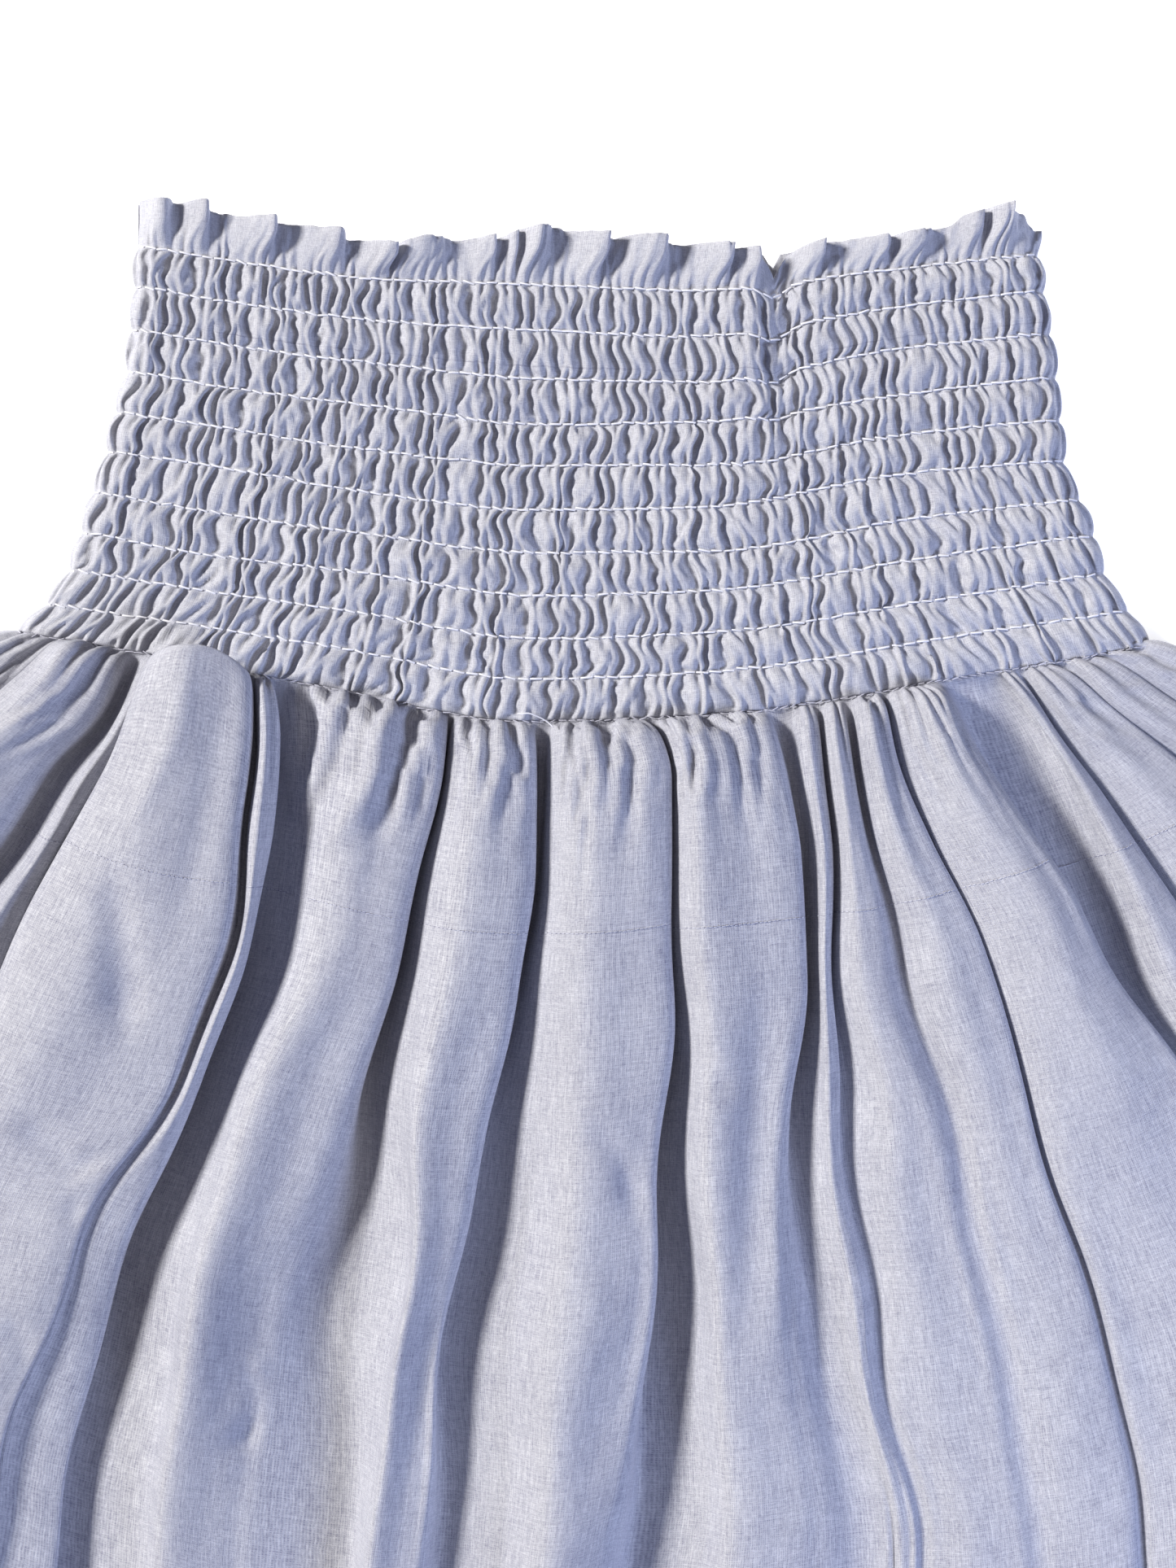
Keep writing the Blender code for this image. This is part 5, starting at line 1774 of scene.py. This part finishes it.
@dataclass
class Stitching:
    """A kind of stitch, set out along a path with a little unevenness."""

    name: str
    finish: bpy.types.Material
    pitch: float = 3.5
    length: float = 3.1
    radius: float = 0.3
    arch: float = 0.55
    turn: float = 0.09
    slant: float = 0.0
    stray: float = 0.09
    size_range: tuple = (0.86, 1.1)
    pitch_range: tuple = (0.93, 1.07)
    seed: int = 3
    places: list = field(default_factory=list)
    ways: list = field(default_factory=list)
    sizes: list = field(default_factory=list)

    def follow(self, path: np.ndarray, start: float = 1.0, pitch: float | None = None) -> None:
        """Set stitches along a path.

        Args:
            path: Points by 3 in millimetres from the seam.
            start: Distance of the first stitch from the path's start.
            pitch: Distance between stitches, the kind's own if not given.
        """
        pitch = pitch or self.pitch
        rng = np.random.default_rng(self.seed + len(self.places))
        run = run_along(path[:, :2])
        at = start
        while at < run[-1] - 0.5 * pitch:
            half = 0.5 * self.length
            ends = [np.array([np.interp(at + side, run, path[:, axis]) for axis in range(3)])
                    for side in (-half, half)]
            place = 0.5 * (ends[0] + ends[1])
            place[1] += rng.normal(0, self.stray)
            way = ends[1] - ends[0]
            way[1] += rng.normal(-self.slant, self.turn) * self.length
            self.places.append(place)
            self.ways.append(way / np.linalg.norm(way))
            self.sizes.append(rng.uniform(*self.size_range))
            at += pitch * rng.uniform(*self.pitch_range)

    def tree(self) -> bpy.types.NodeTree:
        """Build the node tree that puts an arched stitch on each point.

        Returns:
            The tree.
        """
        tree = bpy.data.node_groups.new(self.name, "GeometryNodeTree")
        for name, kind in (("Geometry", "Geometry"), ("Length", "Float"), ("Arch", "Float"),
                           ("Radius", "Float"), ("Thread", "Material")):
            tree.interface.new_socket(name, in_out="INPUT", socket_type="NodeSocket" + kind)
        tree.interface.new_socket("Geometry", in_out="OUTPUT", socket_type="NodeSocketGeometry")
        wires = Wiring(tree)
        given = wires.add("NodeGroupInput").outputs
        ends = [wires.add("ShaderNodeCombineXYZ", X=wires.sum("MULTIPLY", given["Length"], share))
                for share in (-0.5, 0.5)]
        top = wires.add("ShaderNodeCombineXYZ", Z=given["Arch"])
        curve = wires.add("GeometryNodeCurveQuadraticBezier", Resolution=5,
                          Start=ends[0].outputs[0], Middle=top.outputs[0], End=ends[1].outputs[0])
        ring = wires.add("GeometryNodeCurvePrimitiveCircle", Resolution=6, Radius=given["Radius"])
        tube = wires.add("GeometryNodeCurveToMesh", Curve=curve.outputs[0],
                         Profile_Curve=ring.outputs[0], Fill_Caps=True)
        points = wires.add("GeometryNodeMeshToPoints", Mesh=given["Geometry"])
        kept = {}
        for name, kind in (("way", "FLOAT_VECTOR"), ("size", "FLOAT")):
            node = wires.add("GeometryNodeInputNamedAttribute", Name=name)
            node.data_type = kind
            kept[name] = node.outputs[0]
        turn = wires.add("FunctionNodeAlignRotationToVector", Vector=kept["way"])
        turn.axis = "X"
        turn.pivot_axis = "AUTO"
        lay = wires.add("GeometryNodeInstanceOnPoints", Points=points.outputs[0],
                        Instance=tube.outputs[0], Rotation=turn.outputs[0], Scale=kept["size"])
        real = wires.add("GeometryNodeRealizeInstances", Geometry=lay.outputs[0])
        soft = wires.add("GeometryNodeSetShadeSmooth", Geometry=real.outputs[0])
        coloured = wires.add("GeometryNodeSetMaterial", Geometry=soft.outputs[0],
                             Material=given["Thread"])
        wires.add("NodeGroupOutput", Geometry=coloured.outputs[0])
        return tree

    def build(self) -> bpy.types.Object:
        """Sew every stitch as one mesh.

        Returns:
            The stitches.
        """
        mesh = bpy.data.meshes.new(self.name + "_marks")
        mesh.from_pydata(place_points(np.array(self.places)).tolist(), [], [])
        way = mesh.attributes.new("way", "FLOAT_VECTOR", "POINT")
        way.data.foreach_set("vector", np.array(self.ways, dtype=np.float32).ravel())
        size = mesh.attributes.new("size", "FLOAT", "POINT")
        size.data.foreach_set("value", np.array(self.sizes, dtype=np.float32))
        item = put(self.name, mesh)
        modifier = item.modifiers.new("sewing", "NODES")
        modifier.node_group = self.tree()
        entries = modifier.node_group.interface.items_tree
        sockets = {entry.name: entry.identifier for entry in entries if entry.in_out == "INPUT"}
        modifier[sockets["Length"]] = self.length * MM
        modifier[sockets["Arch"]] = self.arch * MM
        modifier[sockets["Radius"]] = self.radius * MM
        modifier[sockets["Thread"]] = self.finish
        view = bpy.context.evaluated_depsgraph_get()
        sewn = bpy.data.meshes.new_from_object(item.evaluated_get(view))
        item.modifiers.clear()
        item.data = sewn
        sewn.name = self.name
        bpy.data.meshes.remove(mesh)
        return item


@dataclass
class LooseThread:
    """The thread end left loose at the middle of the joining seam, in millimetres."""

    finish: bpy.types.Material
    radius: float = 0.22
    sides: int = 8
    x: tuple = (-19.6, -16.5, -13.6, -10.8, -8.9)
    y: tuple = (0.8, 0.9, 0.0, -1.5, -3.2)
    height: float = 12.6
    drop: float = 0.5
    curl: float = 0.5
    curl_turn: float = 1.5
    rings: int = 25

    def path(self) -> np.ndarray:
        """Trace the thread.

        Returns:
            Points by 3.
        """
        knots = range(len(self.x))
        t = np.linspace(0, knots[-1], self.rings)
        sink = self.drop * (t / knots[-1]) ** 2
        z = self.height - sink + self.curl * np.sin(t * self.curl_turn)
        return np.stack([smooth(knots, self.x, t), smooth(knots, self.y, t), z], axis=1)

    def build(self) -> bpy.types.Object:
        """Make the thread end as a tube with tapered ends.

        Returns:
            The thread end.
        """
        path = self.path()
        way = np.gradient(path, axis=0)
        way /= np.linalg.norm(way, axis=1)[:, None]
        across = np.cross(way, np.array([0.0, 0.0, 1.0]))
        across /= np.linalg.norm(across, axis=1)[:, None]
        over = np.cross(across, way)
        angle = np.arange(self.sides) / self.sides * 2 * math.pi
        count = np.arange(len(path))
        taper = np.minimum(1.0, 0.25 + np.minimum(count, count[::-1]) * 0.5)
        ring = (np.cos(angle)[None, :, None] * across[:, None]
                + np.sin(angle)[None, :, None] * over[:, None])
        points = path[:, None] + self.radius * taper[:, None, None] * ring
        number = np.arange(len(path) * self.sides).reshape(len(path), self.sides)
        after = np.roll(number, -1, axis=1)
        faces = np.stack([number[:-1], after[:-1], after[1:], number[1:]], axis=-1)
        corners = [*faces.reshape(-1, 4).tolist(), number[0][::-1].tolist(), number[-1].tolist()]
        mesh = bpy.data.meshes.new("loose_thread_end")
        mesh.from_pydata(place_points(points.reshape(-1, 3)).tolist(), [], corners)
        mesh.polygons.foreach_set("use_smooth", np.ones(len(corners), dtype=bool))
        mesh.materials.append(self.finish)
        return put("loose_thread_end", mesh)


# The studio


class Lamp(NamedTuple):
    """A square area light; its places and size are in metres."""

    name: str
    place: tuple
    target: tuple
    size: float
    power: float
    colour: tuple

    def hang(self) -> None:
        """Put the lamp into the scene."""
        light = bpy.data.lights.new(self.name, "AREA")
        light.shape = "SQUARE"
        light.size = self.size
        light.energy = self.power
        light.color = self.colour
        item = put(self.name, light)
        item.location = self.place
        way = Vector(self.target) - Vector(self.place)
        item.rotation_euler = way.to_track_quat("-Z", "Y").to_euler()


LAMPS = (
    Lamp("key", (-4.1, 1.8, 3.0), (0.0, 0.25, 0.0), 1.0, 425.0, (1.0, 0.975, 0.945)),
    Lamp("window", (1.0, -0.4, 0.68), (0.22, -0.02, 0.0), 0.6, 14.5, (0.52, 0.63, 1.0)),
    Lamp("overhead", (0.15, 0.1, 2.2), (0.0, 0.25, 0.0), 1.6, 2.0, (1.0, 0.98, 0.97)),
)


@dataclass
class Studio:
    """White floor, a soft key light from the upper left and the camera over the band.

    The seam and the picture's middle are given in pixels down the picture.
    """

    floor_reach: float = 3.0
    sky: tuple = (0.86, 0.81, 1.0)
    sky_strength: float = 0.115
    picture_height: float = 1927.0
    picture_middle: float = 963.0
    picture_seam: float = 880.0
    pixels_per_mm: float = 4.2
    camera_x: float = 0.0012
    camera_height: float = 0.9
    focus_height: float = 0.012
    sensor: float = 36.0

    def floor(self, finish: bpy.types.Material) -> bpy.types.Object:
        """Lay the paper floor.

        Args:
            finish: Its material.

        Returns:
            The floor.
        """
        mesh = bpy.data.meshes.new("studio_floor")
        reach = self.floor_reach
        corners = [(-reach, -reach, 0.0), (reach, -reach, 0.0), (reach, reach, 0.0),
                   (-reach, reach, 0.0)]
        mesh.from_pydata(corners, [], [(0, 1, 2, 3)])
        mesh.materials.append(finish)
        return put("studio_floor", mesh)

    def light(self) -> None:
        """Set the sky and hang the lamps."""
        world = bpy.data.worlds.new("studio_sky")
        world.use_nodes = True
        sky = world.node_tree.nodes["Background"]
        sky.inputs["Color"].default_value = (*self.sky, 1.0)
        sky.inputs["Strength"].default_value = self.sky_strength
        bpy.context.scene.world = world
        for lamp in LAMPS:
            lamp.hang()

    def camera(self) -> None:
        """Aim the camera straight down at the picture's middle."""
        data = bpy.data.cameras.new("camera")
        data.sensor_width = self.sensor
        tall = self.picture_height / self.pixels_per_mm * MM
        data.lens = self.sensor * (self.camera_height - self.focus_height) / tall
        item = put("camera", data)
        y = (self.picture_seam - self.picture_middle) / self.pixels_per_mm * MM - CENTRE_Y * MM
        item.location = (self.camera_x, y, self.camera_height)
        bpy.context.scene.camera = item
        bpy.context.scene.view_settings.view_transform = "Standard"


# Putting it together

# Stitches over the band: how far they lie over the cloth at the rows and at the seam, how far
# the seam's are moved off it, and the pitch of the first row, which grows from row to row.
ROW_LIFT = 0.16
ROW_PITCH = 3.4
ROW_STRETCH = 0.05
SEAM_LIFT = -0.1
SEAM_SHIFT = (0.0, -0.35, 0.0)

# Stitches under the back band: their height, and how many points they keep off each side.
BACK_ROW_HEIGHT = 0.22
BACK_ROW_ENDS = 5

# The hem's stitches and the heavier weft yarns: their distance from the joining seam along the
# cloth and how they are moved off it.
HEM_STITCHES_AT = 774.0
HEM_SHIFT = (0.0, 0.0, 0.15)
HEAVY_WEFT_AT = 62.0
WEFT_SHIFT = (0.0, 0.0, 0.12)


def dress(item: bpy.types.Object, node: str | None = None) -> bpy.types.Object:
    """Tie a finished piece to the frame.

    Args:
        item: The piece.
        node: The solid it stands for, if any.

    Returns:
        The same piece.
    """
    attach(item, "root")
    if node:
        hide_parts(node)
    LOG.info("%s: %d faces", item.name, len(item.data.polygons))
    return item


def main() -> None:
    """Build the skirt piece by piece, then the studio."""
    logging.basicConfig(level=logging.INFO, format="%(name)s %(message)s")
    cotton = CottonFinish("lilac_cotton").make()
    band_cotton = CottonFinish("lilac_cotton_smocked", pitch=0.00052, slub=0.2).make()
    thread = ThreadFinish("white_thread").make()
    seam_thread = ThreadFinish("seam_thread", pale=(0.62, 0.62, 0.68),
                               shade=(0.42, 0.42, 0.52)).make()
    weft_thread = ThreadFinish("heavy_weft", pale=(0.62, 0.63, 0.70),
                               shade=(0.48, 0.49, 0.58)).make()

    band = FrontBand(band_cotton)
    band_front = dress(band.build(), "band_front")
    back_band = BackBand(band_cotton)
    band_back = dress(back_band.build(), "band_back")
    front = FrontSkirt(cotton)
    skirt_front = dress(front.build(), "skirt_front")
    back = BackSkirt(cotton)
    skirt_back = dress(back.build(), "skirt_back")

    rows = Stitching("band_row_stitches", thread, slant=0.1)
    for level in range(SEAM_LEVEL):
        rows.follow(band.row_path(float(level), ROW_LIFT), pitch=ROW_PITCH + ROW_STRETCH * level)
    row_stitches = dress(rows.build())
    seam = Stitching("joining_seam_stitches", seam_thread, pitch=2.6, length=2.1, radius=0.17,
                     arch=0.3, turn=0.22)
    seam.follow(band.row_path(float(SEAM_LEVEL), SEAM_LIFT) + SEAM_SHIFT)
    seam_stitches = dress(seam.build())
    back_rows = Stitching("back_row_stitches", thread, pitch=3.6, length=2.8, radius=0.16,
                          arch=0.0)
    for level in range(SEAM_LEVEL):
        path = back_band.surface[float(level)][BACK_ROW_ENDS:-BACK_ROW_ENDS].copy()
        path[:, 2] = BACK_ROW_HEIGHT
        back_rows.follow(path)
    back_stitches = dress(back_rows.build())
    hem = Stitching("hem_stitches", seam_thread, pitch=3.4, length=2.6, radius=0.16, arch=0.25)
    hem.follow(front.path_along(HEM_STITCHES_AT) + HEM_SHIFT)
    hem_stitches = dress(hem.build())
    weft = Stitching("heavy_weft_picks", weft_thread, pitch=1.25, length=0.95, radius=0.13,
                     arch=0.16, turn=0.03)
    weft.follow(front.path_along(HEAVY_WEFT_AT) + WEFT_SHIFT)
    weft_picks = dress(weft.build())
    loose = dress(LooseThread(thread).build())

    studio = Studio()
    studio.floor(PaperFinish("studio_paper").make())
    studio.light()
    studio.camera()


if __name__ == "__main__":
    main()
